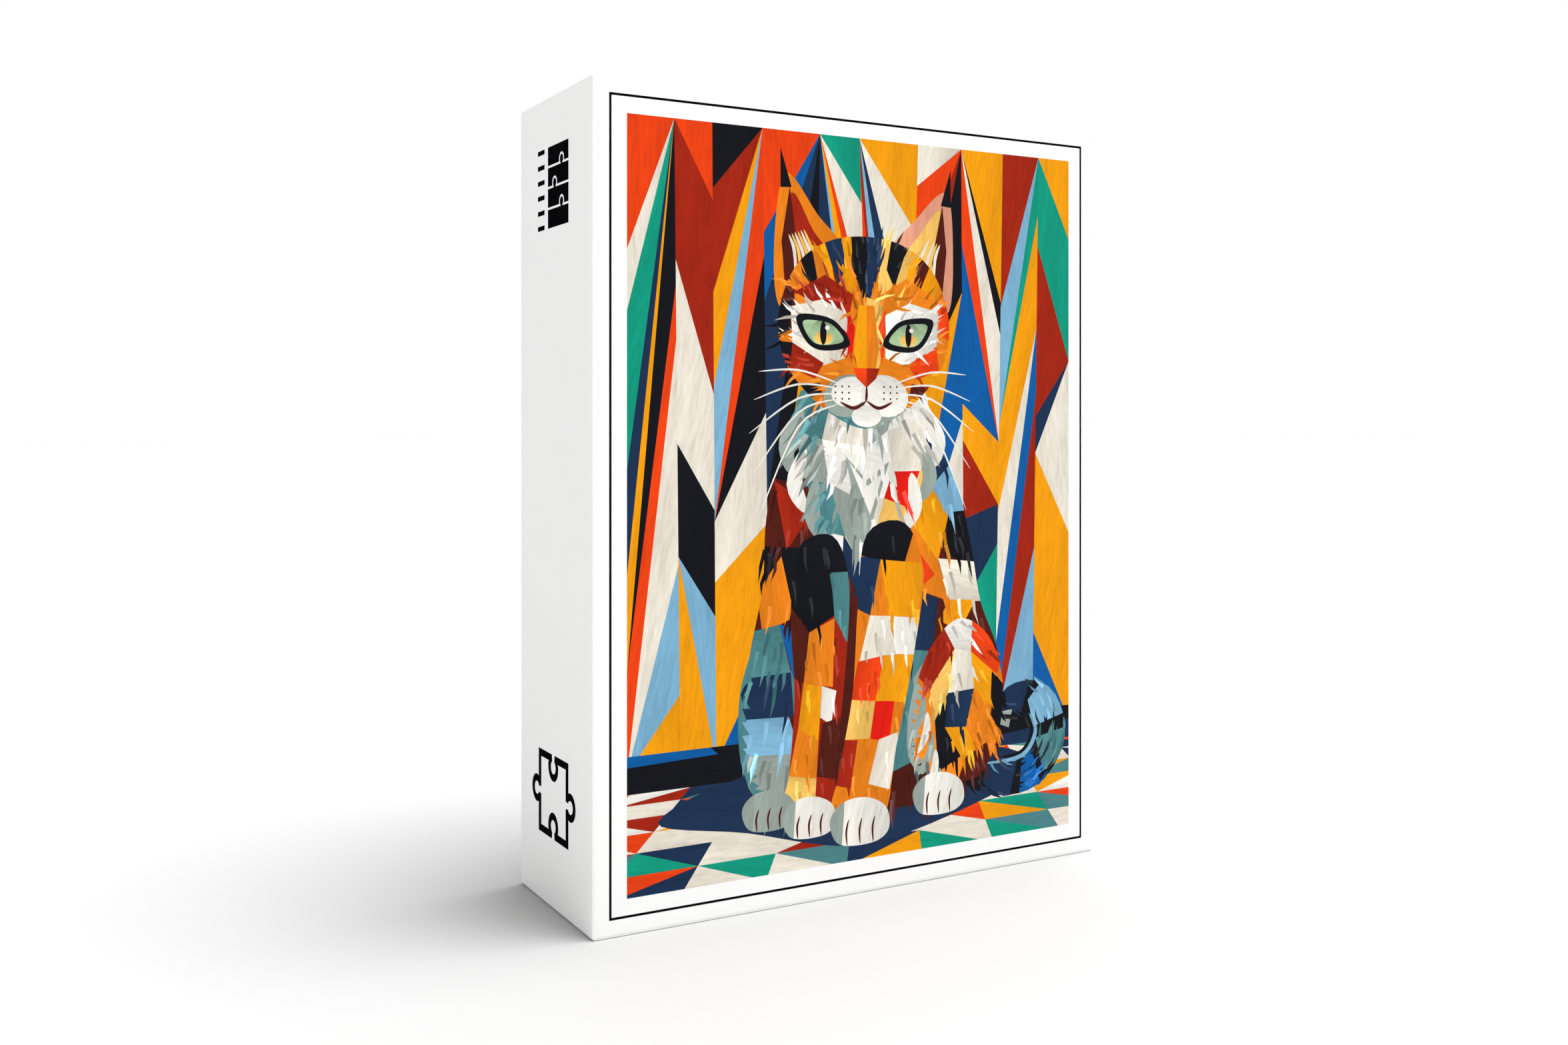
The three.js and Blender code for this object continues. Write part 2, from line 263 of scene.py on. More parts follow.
def painted_print(name, roughness, linen):
    """The printed picture. Its paint is a colour attribute, and each shard's brush marks run its own way."""
    m = Nodes(name, roughness, Specular_IOR_Level=0.06)
    place = m.object_space()
    paint = m.add("ShaderNodeAttribute", {"attribute_name": "paint"}).outputs["Color"]
    brush = m.add("ShaderNodeAttribute", {"attribute_name": "brush"}).outputs["Vector"]
    along = m.vector("DOT_PRODUCT", "Value", _0=place, _1=brush)
    across = m.vector("CROSS_PRODUCT", "Vector", _0=place, _1=brush)
    stroke_space = m.vector("SCALE", "Vector", _0=across, Scale=9.0)
    drag = m.add("ShaderNodeCombineXYZ", X=along, Y=along, Z=along).outputs["Vector"]
    marks_space = m.vector("ADD", "Vector", _0=stroke_space, _1=drag)
    marks = m.noise(marks_space, 90, 4, 0.65)
    broad = m.noise(marks_space, 16, 2, 0.5)
    colour = m.mix(0.6, paint, m.ramp(marks, (0.25, 0.72), (0.5, 1.0), (0.8, 1.25)), "MULTIPLY")
    colour = m.mix(0.5, colour, m.ramp(broad, (0.3, 0.8), (0.7, 1.15)), "MULTIPLY")
    m.link(colour, "Base Color")
    if linen:
        m.bump(m.noise(place, 1400, 2), 0.00005, 0.6)
    return m.material


# ---------------------------------------------------------------- the picture
# An original design for this part, in centimetres of the finished 50 x 70 puzzle: x to the right,
# y up. Outlines are painted one over another; a patch shows only inside the outline it belongs to.

PICTURE_W, PICTURE_H = 50.0, 70.0
WALL_SEED = 41
layers = []


def paint(points, colour, inside=None, fade=0.12, lean=None):
    """Adds an outline. fade is how much it darkens across itself, lean the way its brush marks run."""
    centre = [sum(p[k] for p in points) / len(points) for k in (0, 1)]
    reach = max(math.hypot(p[0] - centre[0], p[1] - centre[1]) for p in points)
    if lean is None:
        longest = max(range(len(points)), key=lambda i: math.dist(points[i], points[i - 1]))
        a, b = points[longest - 1], points[longest]
        lean = math.atan2(b[1] - a[1], b[0] - a[0])
    layers.append({
        "points": [Vector(p) for p in points], "inside": inside, "fade": fade,
        "colour": COLOURS[colour] if isinstance(colour, str) else colour,
        "lean": lean, "centre": Vector(centre), "reach": reach,
        "low": [min(p[k] for p in points) for k in (0, 1)],
        "high": [max(p[k] for p in points) for k in (0, 1)],
    })
    return len(layers) - 1


def smooth(points, steps=6, closed=True):
    """Points along a curve through the given ones."""
    count = len(points)
    knots = [Vector(p) for p in points]

    def knot(i):
        return knots[i % count] if closed else knots[min(max(i, 0), count - 1)]

    curve = []
    for i in range(count if closed else count - 1):
        a, b, c, d = knot(i - 1), knot(i), knot(i + 1), knot(i + 2)
        for step in range(steps):
            t = step / steps
            curve.append(0.5 * (2 * b + (c - a) * t + (2 * a - 5 * b + 4 * c - d) * t ** 2
                                + (3 * b - a - 3 * c + d) * t ** 3))
    return curve if closed else curve + [knots[-1]]


def oval(x, y, rx, ry, turn=0.0, steps=20):
    c, s = math.cos(turn), math.sin(turn)
    ring = [(rx * math.cos(2 * math.pi * k / steps),
             ry * math.sin(2 * math.pi * k / steps)) for k in range(steps)]
    return [(x + u * c - v * s, y + u * s + v * c) for u, v in ring]


def stroke(points, width, tip=0.1, steps=5):
    """The outline of a brush stroke along a curve, narrowing to tip times its width at both ends."""
    line = smooth(points, steps, closed=False)
    left, right = [], []
    for i, point in enumerate(line):
        ahead = line[min(i + 1, len(line) - 1)] - line[max(i - 1, 0)]
        side = Vector((-ahead.y, ahead.x)).normalized()
        t = i / (len(line) - 1)
        half = width / 2 * (tip + (1 - tip) * math.sin(math.pi * t) ** 0.7)
        left.append(point + side * half)
        right.append(point - side * half)
    return left + right[::-1]


def fringe(points, depth, teeth, root=0.4):
    """A strip along a path with pointed tufts on one side, each leaning on to the next."""
    line = smooth(points, teeth, closed=False)
    tufts, roots = [], []
    for i, (a, b) in enumerate(zip(line, line[1:])):
        side = Vector((b.y - a.y, a.x - b.x)).normalized()
        tufts += [a, b + side * depth * (1.0 if i % 2 else 0.65)]
        roots.append(a - side * math.copysign(root, depth))
    return tufts + [line[-1]] + roots[::-1]


def is_inside(point, ring):
    """Whether a point lies in a ring, by counting the ring's edges to its right."""
    crossings = 0
    for a, b in zip(ring, ring[1:] + ring[:1]):
        if (a.y > point.y) != (b.y > point.y):
            crossings += point.x < a.x + (b.x - a.x) * (point.y - a.y) / (b.y - a.y)
    return crossings % 2 == 1


def top_colour(point):
    """The colour painted on top at a point so far."""
    over = [i for i, layer in enumerate(layers) if is_inside(point, layer["points"])]
    shown = [i for i in over if layers[i]["inside"] is None or layers[i]["inside"] in over]
    return layers[max(shown)]["colour"]


def fur(coat, count, length, width, flow, spill=False):
    """Darts of paint over a coat's outline. Each carries the colour at its root, a little lighter or
    darker, along the way the fur lies there. Only spilling fur may pass the outline."""
    rng = random.Random(count)
    layer = layers[coat]
    for _ in range(count):
        root = Vector((rng.uniform(layer["low"][0], layer["high"][0]),
                       rng.uniform(layer["low"][1], layer["high"][1])))
        if not is_inside(root, layer["points"]):
            continue
        way = flow(root).normalized() * length * rng.uniform(0.6, 1.3)
        side = Vector((-way.y, way.x)).normalized() * width / 2
        bend = side * rng.uniform(-1.2, 1.2)
        level = rng.choice((0.62, 0.8, 1.0, 1.25, 1.5))
        shade = [min(c * level + (0.02 if level > 1 else 0), 0.85) for c in top_colour(root)]
        dart = [root - side, root + way * 0.5 - side * 0.8 + bend, root + way,
                root + way * 0.5 + side * 0.8 + bend, root + side]
        paint(dart, shade, inside=None if spill else coat, fade=0.0)


def paint_wall():
    """Shards: near-upright bands, each cut by slanting lines that often meet in a point."""
    rng = random.Random(WALL_SEED)
    tops = [0, 4.6, 8.4, 13.6, 19.8, 24.2, 31.0, 36.2, 41.4, 46.0, 50]
    feet = [0, 5.2, 8.8, 14.4, 18.6, 26.4, 29.2, 36.6, 40.4, 45.2, 50]
    names = ["red", "amber", "black", "cream", "navy", "red", "amber", "blue", "cream", "black",
             "teal", "sky", "brown", "blue", "amber"]
    floor_line, top, least = 11.0, PICTURE_H, 4.0

    def edge(i, height):
        t = (height - floor_line) / (top - floor_line)
        return (feet[i] + (tops[i] - feet[i]) * t, height)

    recent = []
    for band in range(len(tops) - 1):
        left = right = floor_line
        while left < top or right < top:
            climb = rng.uniform(6, 17)
            kind = rng.random()
            new_left = left if kind < 0.3 else min(top, max(left, left + climb + rng.uniform(-5, 4)))
            new_right = right if kind > 0.7 else min(top, max(right, right + climb + rng.uniform(-5, 4)))
            if top - new_left < least:
                new_left = top
            if top - new_right < least:
                new_right = top
            ring = [edge(band, left), edge(band + 1, right), edge(band + 1, new_right), edge(band, new_left)]
            ring = [p for k, p in enumerate(ring) if p != ring[k - 1]]
            if len(ring) > 2:
                colour = rng.choice([n for n in names if n not in recent[-4:]])
                paint(ring, colour, fade=rng.uniform(0.1, 0.3), lean=math.radians(90 + rng.uniform(-14, 14)))
                recent.append(colour)
            left, right = new_left, new_right


def paint_floor():
    """A tiled floor seen low: its rows close up with distance and its joints run to one far point."""
    rng = random.Random(12)
    rows = [-0.5, 1.9, 3.9, 5.6, 7.0, 8.2, 9.2]
    far = Vector((27, 30))
    names = ["cream", "teal", "red", "amber", "slate", "navy", "white", "brown"]
    last = None

    def joint(column, y):
        foot = -46 + 8.6 * column
        return (foot + (far.x - foot) * (y / far.y), y)

    paint([(0, 0), (50, 0), (50, 9.2), (0, 9.2)], "cream")
    for low, high in zip(rows, rows[1:]):
        for column in range(1, 17):
            a, b = joint(column, low), joint(column + 1, low)
            c, d = joint(column + 1, high), joint(column, high)
            halves = [[a, b, c], [a, c, d]] if rng.random() < 0.5 else [[a, b, d], [b, c, d]]
            for half in halves:
                colour = rng.choice([n for n in names if n != last])
                paint(half, "cream" if rng.random() < 0.3 else colour, fade=0.15, lean=0.1)
                last = colour
    paint([(0, 9.2), (50, 9.2), (50, 12.6), (0, 12.6)], "black")
    paint([(0, 11.6), (9, 11.9), (8.2, 12.6), (0, 12.6)], "blue")
    paint([(30, 9.2), (50, 9.2), (50, 11.2), (41, 10.3)], "navy")
    shadow = [(3, 6.4), (12, 4.2), (24, 1.4), (36, 3.2), (45, 6.6), (38, 9.6), (14, 9.8)]
    paint(smooth(shadow), "navy", fade=0.3)


def patches(inside, rows, lean=None):
    """Many patches of one outline, each a colour followed by its corners."""
    for colour, *points in rows:
        paint(points, colour, inside=inside, fade=0.28, lean=lean)


def paint_tail():
    line = [(36.5, 7.6), (40.5, 6.2), (44.8, 6.6), (47.2, 9.6), (46.0, 13.0), (42.8, 13.4), (41.6, 11.2)]
    tail = paint(stroke(line, 4.6, 0.62), "black")
    patches(tail, [
        ("navy", (38, 3), (42, 3), (43.2, 7.4), (39.6, 8.6)),
        ("blue", (43.4, 3), (46.5, 4), (45.2, 8.0), (43.8, 7.4)),
        ("slate", (46.6, 6), (51, 8), (50, 10.4), (45.6, 9.6)),
        ("sky", (45.4, 10.8), (50, 12), (47, 16), (44.6, 13.6)),
        ("navy", (43.6, 12), (45, 16), (41.2, 17), (42, 13)),
        ("grey", (39.5, 12.6), (42.6, 12.8), (41.9, 10), (39.4, 10)),
    ])
    paint(stroke([(39, 7.6), (43.8, 7.9), (45.6, 10.2), (44.8, 12.2)], 0.5), "sky", inside=tail)
    fur(tail, 140, 1.7, 0.3, lambda p: Vector((9.8 - p.y, p.x - 42.4)), spill=True)


def paint_body():
    body = paint(smooth([
        (19.2, 45.5), (15.6, 40.0), (14.0, 33.5), (13.6, 27.0), (12.2, 20.5), (11.4, 14.0),
        (12.8, 7.4), (20, 5.0), (32, 4.6), (38.2, 7.0), (41.2, 12.4), (40.8, 18.8), (38.6, 24.2),
        (37.4, 30.0), (35.6, 36.4), (32.2, 41.8), (30.4, 45.5), (24.8, 48.0)]), "umber", fade=0.3)
    patches(body, [
        ("black", (11, 45), (18.5, 45), (17.4, 36.5), (12, 37.5)),
        ("umber", (12, 38), (17.4, 36.5), (18.0, 30.5), (12.5, 31)),
        ("brown", (14.8, 37), (19.2, 34.2), (16.2, 30.4)),
        ("black", (12, 31), (17.8, 30.5), (17.0, 24.0), (12, 25)),
        ("orange", (13, 26.5), (15.6, 29.8), (17.0, 24.0), (13.6, 22.6)),
        ("slate", (10, 22.5), (15.4, 23.4), (16.6, 18.8), (10, 18.4)),
        ("navy", (10, 18.5), (16.6, 18.8), (17.2, 14.6), (10, 14.8)),
        ("sky", (11, 14.8), (16.4, 14.6), (17.6, 11.0), (11, 11.4)),
        ("grey", (11, 11.4), (17.6, 11.0), (18.4, 7.0), (12, 5.0)),
        ("slate", (16.6, 18.8), (18.4, 22.5), (19.6, 12), (17.2, 11.5)),
        ("blue", (15.4, 23.4), (18.4, 22.5), (17.2, 17.2)),
        # the lit side
        ("navy", (31.2, 45), (35.5, 38), (32.6, 36.0), (30.0, 41.0)),
        ("honey", (30.0, 41.0), (32.6, 36.0), (30.2, 32.6), (28.0, 37.6)),
        ("sky", (35.6, 39), (38, 33.6), (34.6, 33.0), (32.6, 36.0)),
        ("amber", (32.6, 36.0), (34.6, 33.0), (33.4, 28.6), (30.2, 32.6)),
        ("black", (34.6, 33.4), (38.6, 33.6), (38.4, 28.0), (34.2, 29.0)),
        ("cream", (33.4, 28.8), (38.6, 28.2), (39.4, 24.2), (34.8, 24.4)),
        ("orange", (30.2, 32.6), (33.4, 28.6), (34.8, 24.4), (29.8, 26.2)),
        ("red", (30.6, 30.2), (33.0, 27.2), (31.0, 25.8)),
        ("amber", (34.8, 24.6), (38.0, 24.4), (36.0, 21.4), (33.4, 22.6)),
        ("navy", (29.8, 26.2), (33.4, 24.8), (32.8, 20.0), (29.2, 19.0)),
        ("slate", (29.2, 20), (32.6, 19.6), (31.0, 9.0), (27.8, 8.0)),
        ("grey", (30.4, 17), (32.8, 20.0), (33.4, 14.0), (31.4, 9.6)),
    ])
    paint(fringe([(13.2, 22), (11.6, 17), (11.7, 11), (13.4, 7)], -0.8, 5), "slate", lean=1.4)
    fur(body, 420, 2.6, 0.42, lambda p: Vector(((p.x - 25) * 0.02, -1)), spill=True)


def paint_haunch():
    haunch = paint(smooth([
        (31.6, 8.2), (30.4, 13.6), (32.0, 19.2), (35.8, 22.6), (39.6, 20.6), (41.4, 15.6), (40.6, 9.8),
        (37.6, 6.2)]),
        "orange", fade=0.3)
    patches(haunch, [
        ("brown", (30, 18), (33.0, 23.6), (35.4, 19.6), (32.4, 15.8)),
        ("white", (33.0, 23.6), (38, 24), (37.4, 19.2), (35.4, 19.6)),
        ("red", (37.6, 23), (42, 19.4), (40.6, 16.6), (37.4, 19.2)),
        ("cream", (35.4, 19.6), (37.4, 19.2), (37.8, 15.4), (34.6, 15.2)),
        ("amber", (37.4, 19.2), (40.6, 16.6), (40.0, 13.4), (37.8, 15.4)),
        ("black", (40.0, 17.0), (43, 14), (42, 9.4), (39.8, 12.6)),
        ("honey", (32.4, 15.8), (35.4, 19.6), (34.6, 15.2), (33.0, 12.6)),
        ("navy", (34.6, 15.2), (37.8, 15.4), (36.8, 11.6), (34.2, 11.8)),
        ("orange", (37.8, 15.4), (40.0, 13.4), (39.4, 9.6), (36.8, 11.6)),
        ("black", (33.0, 12.6), (34.6, 15.2), (34.2, 11.8), (36.8, 9.0), (33.4, 7.4)),
        ("amber", (34.2, 11.8), (36.8, 11.6), (38.6, 8.2), (36.2, 8.6)),
        ("umber", (36.8, 8.6), (39.4, 9.8), (40.4, 6), (35.4, 5.4)),
    ])
    paint(fringe([(31.0, 16.5), (30.2, 13), (30.2, 9.6), (31.6, 7.4)], -1.3, 4), "grey", lean=1.3)
    for step in range(5):
        x, y = 31.6 + 0.5 * step, 15.4 - 1.9 * step
        paint(stroke([(x, y), (x - 0.2, y - 2.2), (x - 1.6, y - 4.2)], 0.9), "white" if step % 2 else "grey")
    fur(haunch, 130, 1.9, 0.38, lambda p: Vector((p.x - 34, p.y - 24)), spill=True)


def paint_legs():
    left = paint(smooth([
        (17.4, 30.5), (16.6, 24.2), (17.0, 16.5), (16.4, 9.0), (15.6, 5.2), (20.8, 4.2), (21.6, 10.6),
        (22.6, 18.5), (23.0, 27.0), (21.2, 31.5)], 5), "brown", fade=0.3)
    patches(left, [
        ("black", (15, 32), (24, 32), (22.8, 24.6), (18.6, 22.4), (15.8, 26.0)),
        ("slate", (21.0, 28), (24, 28), (23.4, 20.2), (21.4, 23.6)),
        ("umber", (15.8, 26.0), (18.6, 22.4), (18.0, 17.6), (15.6, 19.0)),
        ("orange", (18.6, 22.4), (21.4, 23.6), (21.2, 17.0), (18.0, 17.6)),
        ("amber", (18.0, 17.6), (20.0, 17.2), (19.6, 12.0), (17.4, 13.4)),
        ("white", (20.0, 17.2), (21.6, 16.6), (21.0, 13.4), (19.8, 14.2)),
        ("orange", (17.4, 13.4), (19.6, 12.0), (19.4, 8.4), (16.4, 9.0)),
        ("umber", (20.0, 13.6), (22, 14), (21.8, 8.0), (19.4, 8.6)),
        ("honey", (16.4, 9.0), (19.4, 8.4), (19.2, 5.8), (15.6, 6.4)),
    ])
    right = paint(smooth([
        (25.0, 31.5), (24.0, 24.5), (23.4, 16.0), (21.8, 8.4), (21.2, 4.4), (26.8, 3.8), (28.4, 10.4),
        (30.4, 19.0), (31.6, 27.5), (29.4, 32.5)], 5), "orange", fade=0.3)
    patches(right, [
        ("black", (23, 33), (31, 33), (29.2, 28.0), (24.0, 29.6)),
        ("navy", (23.4, 29.6), (26.6, 29.0), (25.4, 23.6), (23.0, 24.8)),
        ("amber", (26.6, 29.0), (31.8, 28.4), (31.0, 23.2), (27.6, 23.4)),
        ("cream", (25.4, 23.6), (27.6, 23.4), (28.4, 19.6), (24.2, 19.2)),
        ("white", (27.6, 23.4), (31.4, 23.0), (30.6, 19.4), (28.4, 19.6)),
        ("red", (24.0, 19.2), (27.0, 19.6), (26.0, 15.2), (23.2, 15.6)),
        ("amber", (27.0, 19.6), (30.8, 19.4), (29.4, 14.8), (26.0, 15.2)),
        ("scarlet", (26.0, 15.2), (28.2, 15.0), (27.6, 11.0), (25.4, 11.6)),
        ("honey", (22.8, 15.6), (26.0, 15.2), (25.4, 11.6), (22.2, 11.8)),
        ("brown", (22.0, 11.8), (24.0, 11.6), (23.2, 7.0), (21.0, 7.6)),
        ("cream", (26.4, 11.4), (29.0, 12), (27.6, 6.4), (25.2, 7.2)),
    ])
    for leg in (left, right):
        fur(leg, 90, 2.0, 0.34, lambda p: Vector((0.1, -1)))


def paint_paw(x, y, size, shade):
    """A rounded paw with the dark clefts of its toes."""
    paw = paint(smooth([
        (x - 1.5 * size, y - 0.9 * size), (x - 1.9 * size, y + 0.3 * size),
        (x - 1.1 * size, y + 1.2 * size), (x + 0.4 * size, y + 1.35 * size),
        (x + 1.7 * size, y + 0.7 * size), (x + 1.95 * size, y - 0.5 * size),
        (x + 1.2 * size, y - 1.15 * size),
        (x - 0.4 * size, y - 1.25 * size)]), shade, fade=0.2, lean=1.4)
    paint([(x - 2 * size, y + 2 * size), (x - 0.9 * size, y + 2 * size), (x - 1.2 * size, y - 2 * size),
           (x - 2 * size, y - 2 * size)], "grey", inside=paw)
    for toe in (-0.75, 0.1, 0.95):
        foot = x + toe * size
        cleft = [(foot - 0.1, y - 1.2 * size), (foot - 0.18, y - 0.4 * size), (foot + 0.1, y + 0.25 * size)]
        paint(stroke(cleft, 0.22), "umber", inside=paw)


def paint_chest():
    chest = paint(smooth([
        (18.6, 46.0), (17.4, 41.2), (18.4, 36.4), (21.0, 31.2), (23.6, 26.4), (25.0, 22.6),
        (26.4, 27.4), (29.0, 32.2), (31.2, 37.4), (32.0, 42.0), (30.8, 46.0)], 5), "white", fade=0.2)
    patches(chest, [
        ("slate", (16, 46), (21.4, 46), (20.0, 40.8), (16.6, 41.8)),
        ("grey", (16.6, 41.8), (20.0, 40.8), (20.8, 36.6), (17.4, 37.0)),
        ("slate", (17.4, 37.0), (20.8, 36.6), (22.6, 31.4), (18.6, 32.4)),
        ("grey", (20.8, 36.6), (24.0, 35.0), (24.2, 28.8), (22.6, 31.4)),
        ("navy", (22.4, 31.6), (24.2, 28.8), (25.0, 20.0), (22, 25)),
        ("cream", (21.4, 46), (26.0, 46.6), (25.2, 40.0), (20.0, 40.8)),
        ("grey", (26.0, 46), (29.0, 46), (27.4, 41.6), (25.2, 40.0)),
        ("cream", (27.4, 41.6), (32.2, 43), (31.4, 37.8), (28.0, 37.6)),
        ("scarlet", (28.0, 37.6), (31.2, 37.6), (29.8, 34.0), (27.0, 35.0)),
        ("white", (20.0, 40.8), (25.2, 40.0), (24.0, 35.0), (20.8, 36.6)),
        ("honey", (27.0, 35.0), (29.8, 34.0), (27.4, 29.6), (26.0, 31.6)),
        ("cream", (24.0, 35.0), (27.0, 35.0), (26.0, 31.6), (24.2, 28.8)),
        ("slate", (24.2, 28.8), (26.0, 31.6), (26.6, 27.0), (25.0, 22.0)),
    ])
    paint([(22.6, 39.2), (25.0, 36.8), (27.6, 38.6), (25.6, 32.6), (24.6, 30.0)], "grey", fade=0.3)
    paint([(23.0, 38.6), (25.1, 36.2), (27.0, 37.6), (25.4, 33.4)], "white", fade=0.3)
    tufts = [((18.0, 43.5), (16.2, 40.6), (16.6, 37.6)), ((18.2, 40.0), (17.0, 36.6), (18.4, 33.8)),
             ((19.4, 37.0), (19.0, 33.4), (20.8, 30.6)), ((31.6, 43.5), (33.4, 40.8), (33.0, 38.0)),
             ((31.4, 40.0), (32.4, 37.0), (31.2, 34.6)), ((30.2, 37.4), (30.6, 34.0), (29.0, 31.6))]
    for number, tuft in enumerate(tufts):
        paint(stroke(tuft, 1.7, 0.12), "white" if number % 2 else "grey", fade=0.25)
    fur(chest, 230, 2.8, 0.5, lambda p: Vector(((p.x - 25) * 0.12, -1)), spill=True)


def paint_ear(side, tip_x, tip_y, colour, lining):
    """An ear on one side of the head: outer shell, lining, fine hairs and a dark tuft."""
    def at(dx, y):
        return (25 + side * dx, y)

    shell = [at(9.4, 53.2), at(10.2, 58.6), at(tip_x, tip_y), at(5.4, 62.2), at(2.6, 59.0), at(5.6, 56.2)]
    ear = paint(smooth(shell, 6), colour, fade=0.3)
    paint(smooth([at(8.6, 54.6), at(9.2, 58.4), at(tip_x - 0.7, tip_y - 1.8), at(6.0, 60.8), at(4.2, 58.4),
                  at(6.0, 56.4)], 6), lining, inside=ear, fade=0.35)
    paint([at(8.8, 54), at(9.4, 59.5), at(tip_x - 0.5, tip_y - 1.2), at(7.6, 58.4)], "umber", inside=ear)
    for hair in range(6):
        t = hair / 5
        line = [at(4.4 + 3.4 * t, 57.2 - 1.8 * t), at(5.8 + 2.2 * t, 58.6), at(7.0 + 1.6 * t, 60.8 - 0.6 * t)]
        paint(stroke(line, 0.34), "cream" if hair % 2 else "honey")
    paint([at(tip_x - 0.7, tip_y - 1.3), at(tip_x + 0.5, tip_y + 2.4), at(tip_x + 0.5, tip_y - 1.4)], "black")


def paint_eye(side, x, y):
    def at(dx, dy):
        return (x + side * dx, y + dy)

    rim = [at(-2.9, -1.1), at(-1.5, 1.0), at(0.6, 1.7), at(3.0, 1.5), at(1.9, -0.9), at(0.0, -1.7)]
    paint(smooth(rim), "black")
    opening = [at(-2.2, -0.7), at(-1.0, 0.75), at(0.6, 1.15), at(2.3, 1.0), at(1.4, -0.7), at(0.0, -1.15)]
    white = paint(smooth(opening), "sage", fade=0.3)
    paint(oval(x + 0.05 * side, y, 1.35, 1.3), "sage", inside=white, fade=0.5)
    paint(oval(x + 0.05 * side, y - 0.5, 1.0, 0.62), "honey", inside=white, fade=0.4)
    paint(oval(x + 0.05 * side, y, 0.36, 1.15), "black", inside=white)
    paint(oval(x + 0.4, y + 0.5, 0.26, 0.22, steps=10), "white")


def paint_head():
    paint_ear(-1, 9.0, 66.0, "orange", "brown")
    paint_ear(1, 9.4, 65.4, "rose", "honey")
    head = paint(smooth([
        (22.0, 60.2), (28.0, 60.2), (32.4, 57.8), (34.6, 53.2), (34.2, 48.6), (31.6, 45.2),
        (28.2, 42.8), (25.0, 41.8), (21.8, 42.8), (18.4, 45.2), (15.8, 48.6), (15.4, 53.2),
        (17.6, 57.8)]), "orange", fade=0.25)

    def both(left, right, *points):
        """The same patch on both sides of the face, in each side's own colour."""
        paint([(25 - dx, y) for dx, y in points], left, inside=head, fade=0.3)
        paint([(25 + dx, y) for dx, y in points], right, inside=head, fade=0.3)

    both("amber", "honey", (0.6, 61), (5.6, 61), (4.6, 56.6), (1.6, 54.4))
    both("black", "navy", (0, 61), (1.8, 61), (1.5, 57.2), (0, 53.4))
    both("navy", "black", (3.0, 61), (4.9, 60.2), (3.2, 55.6), (2.3, 57.4))
    both("orange", "amber", (4.6, 56.6), (5.6, 61), (9.2, 58.4), (8.0, 54.8))
    both("black", "umber", (6.2, 59.6), (7.8, 58.8), (6.2, 55.4), (5.5, 56.2))
    both("umber", "orange", (8.0, 54.8), (9.2, 58.4), (11, 54), (10.4, 50.0), (7.8, 51.4))
    both("black", "red", (8.2, 54.4), (10.8, 53.0), (10.4, 50.2), (8.6, 51.2))
    both("brown", "orange", (1.5, 54.8), (4.6, 56.6), (8.0, 54.8), (5.0, 53.4), (2.0, 52.4))
    both("cream", "white", (1.9, 52.8), (5.0, 54.2), (8.4, 53.4), (8.2, 49.8), (4.8, 47.9), (2.2, 48.7))
    both("orange", "honey", (0, 54.6), (1.6, 54.2), (2.1, 50.2), (1.3, 47.4), (0, 47.4))
    both("scarlet", "red", (1.3, 51.6), (2.1, 53.4), (2.3, 50.0), (1.7, 48.2))
    both("brown", "red", (4.8, 48.1), (8.2, 50.0), (8.9, 47.8), (5.8, 46.6))
    both("black", "orange", (8.2, 50.0), (11, 50.2), (9.6, 46.2), (8.6, 46.8))
    both("orange", "amber", (5.8, 46.6), (8.9, 47.8), (8.6, 44.4), (5.0, 44.2))
    both("black", "umber", (5.2, 46.2), (8.2, 46.0), (6.9, 44.6), (5.0, 45.2))
    both("slate", "grey", (0, 44), (4.4, 44.6), (5.2, 41), (0, 40))
    fur(head, 330, 1.7, 0.3, lambda p: p - Vector((25, 47)))
    fur(head, 90, 2.2, 0.34, lambda p: p - Vector((25, 54)), spill=True)
    paint_eye(-1, 20.2, 51.0)
    paint_eye(1, 29.8, 51.0)
    bridge = [(24.1, 53.8), (25.9, 53.8), (26.4, 49.4), (25.9, 47.2), (24.1, 47.2), (23.6, 49.4)]
    paint(bridge, "amber", fade=0.3)
    paint([(25.0, 53.8), (25.9, 53.8), (26.4, 49.4), (25.9, 47.2), (25.0, 47.2)], "orange", fade=0.3)
    for side, shade in ((-1, "grey"), (1, "white")):
        paint(oval(25 + side * 2.1, 45.0, 2.75, 2.05, -0.18 * side), shade, fade=0.25)
        paint(oval(25 + side * 1.9, 45.4, 2.1, 1.45, -0.18 * side), "white", fade=0.2)
    paint(oval(25, 43.0, 1.7, 1.05), "white", fade=0.3)
    paint([(23.5, 47.7), (26.5, 47.7), (26.1, 46.7), (25.0, 45.8), (23.9, 46.7)], "red", fade=0.4)
    paint([(25.0, 47.7), (26.5, 47.7), (26.1, 46.7), (25.0, 45.8)], "brown", fade=0.3)
    paint(stroke([(25.0, 46.0), (25.0, 45.0), (24.9, 44.4)], 0.3), "umber")
    for side in (-1, 1):
        paint(stroke([(25, 44.5), (25 + side * 1.4, 43.8), (25 + side * 3.0, 44.4)], 0.34), "umber")
        for row in range(3):
            for dot in range(3):
                paint(oval(25 + side * (2.0 + 0.75 * dot), 45.9 - 0.6 * row, 0.11, 0.11, steps=6), "umber")
        for row in range(5):
            start = (25 + side * 3.2, 46.2 - 0.5 * row)
            bend = (25 + side * 7.6, 47.4 - 1.35 * row)
            tip = (25 + side * (12.8 - 0.5 * abs(row - 2)), 47.2 - 2.4 * row - 0.25 * row * row)
            paint(stroke([start, bend, tip], 0.2, 0.15), "white", fade=0.0)


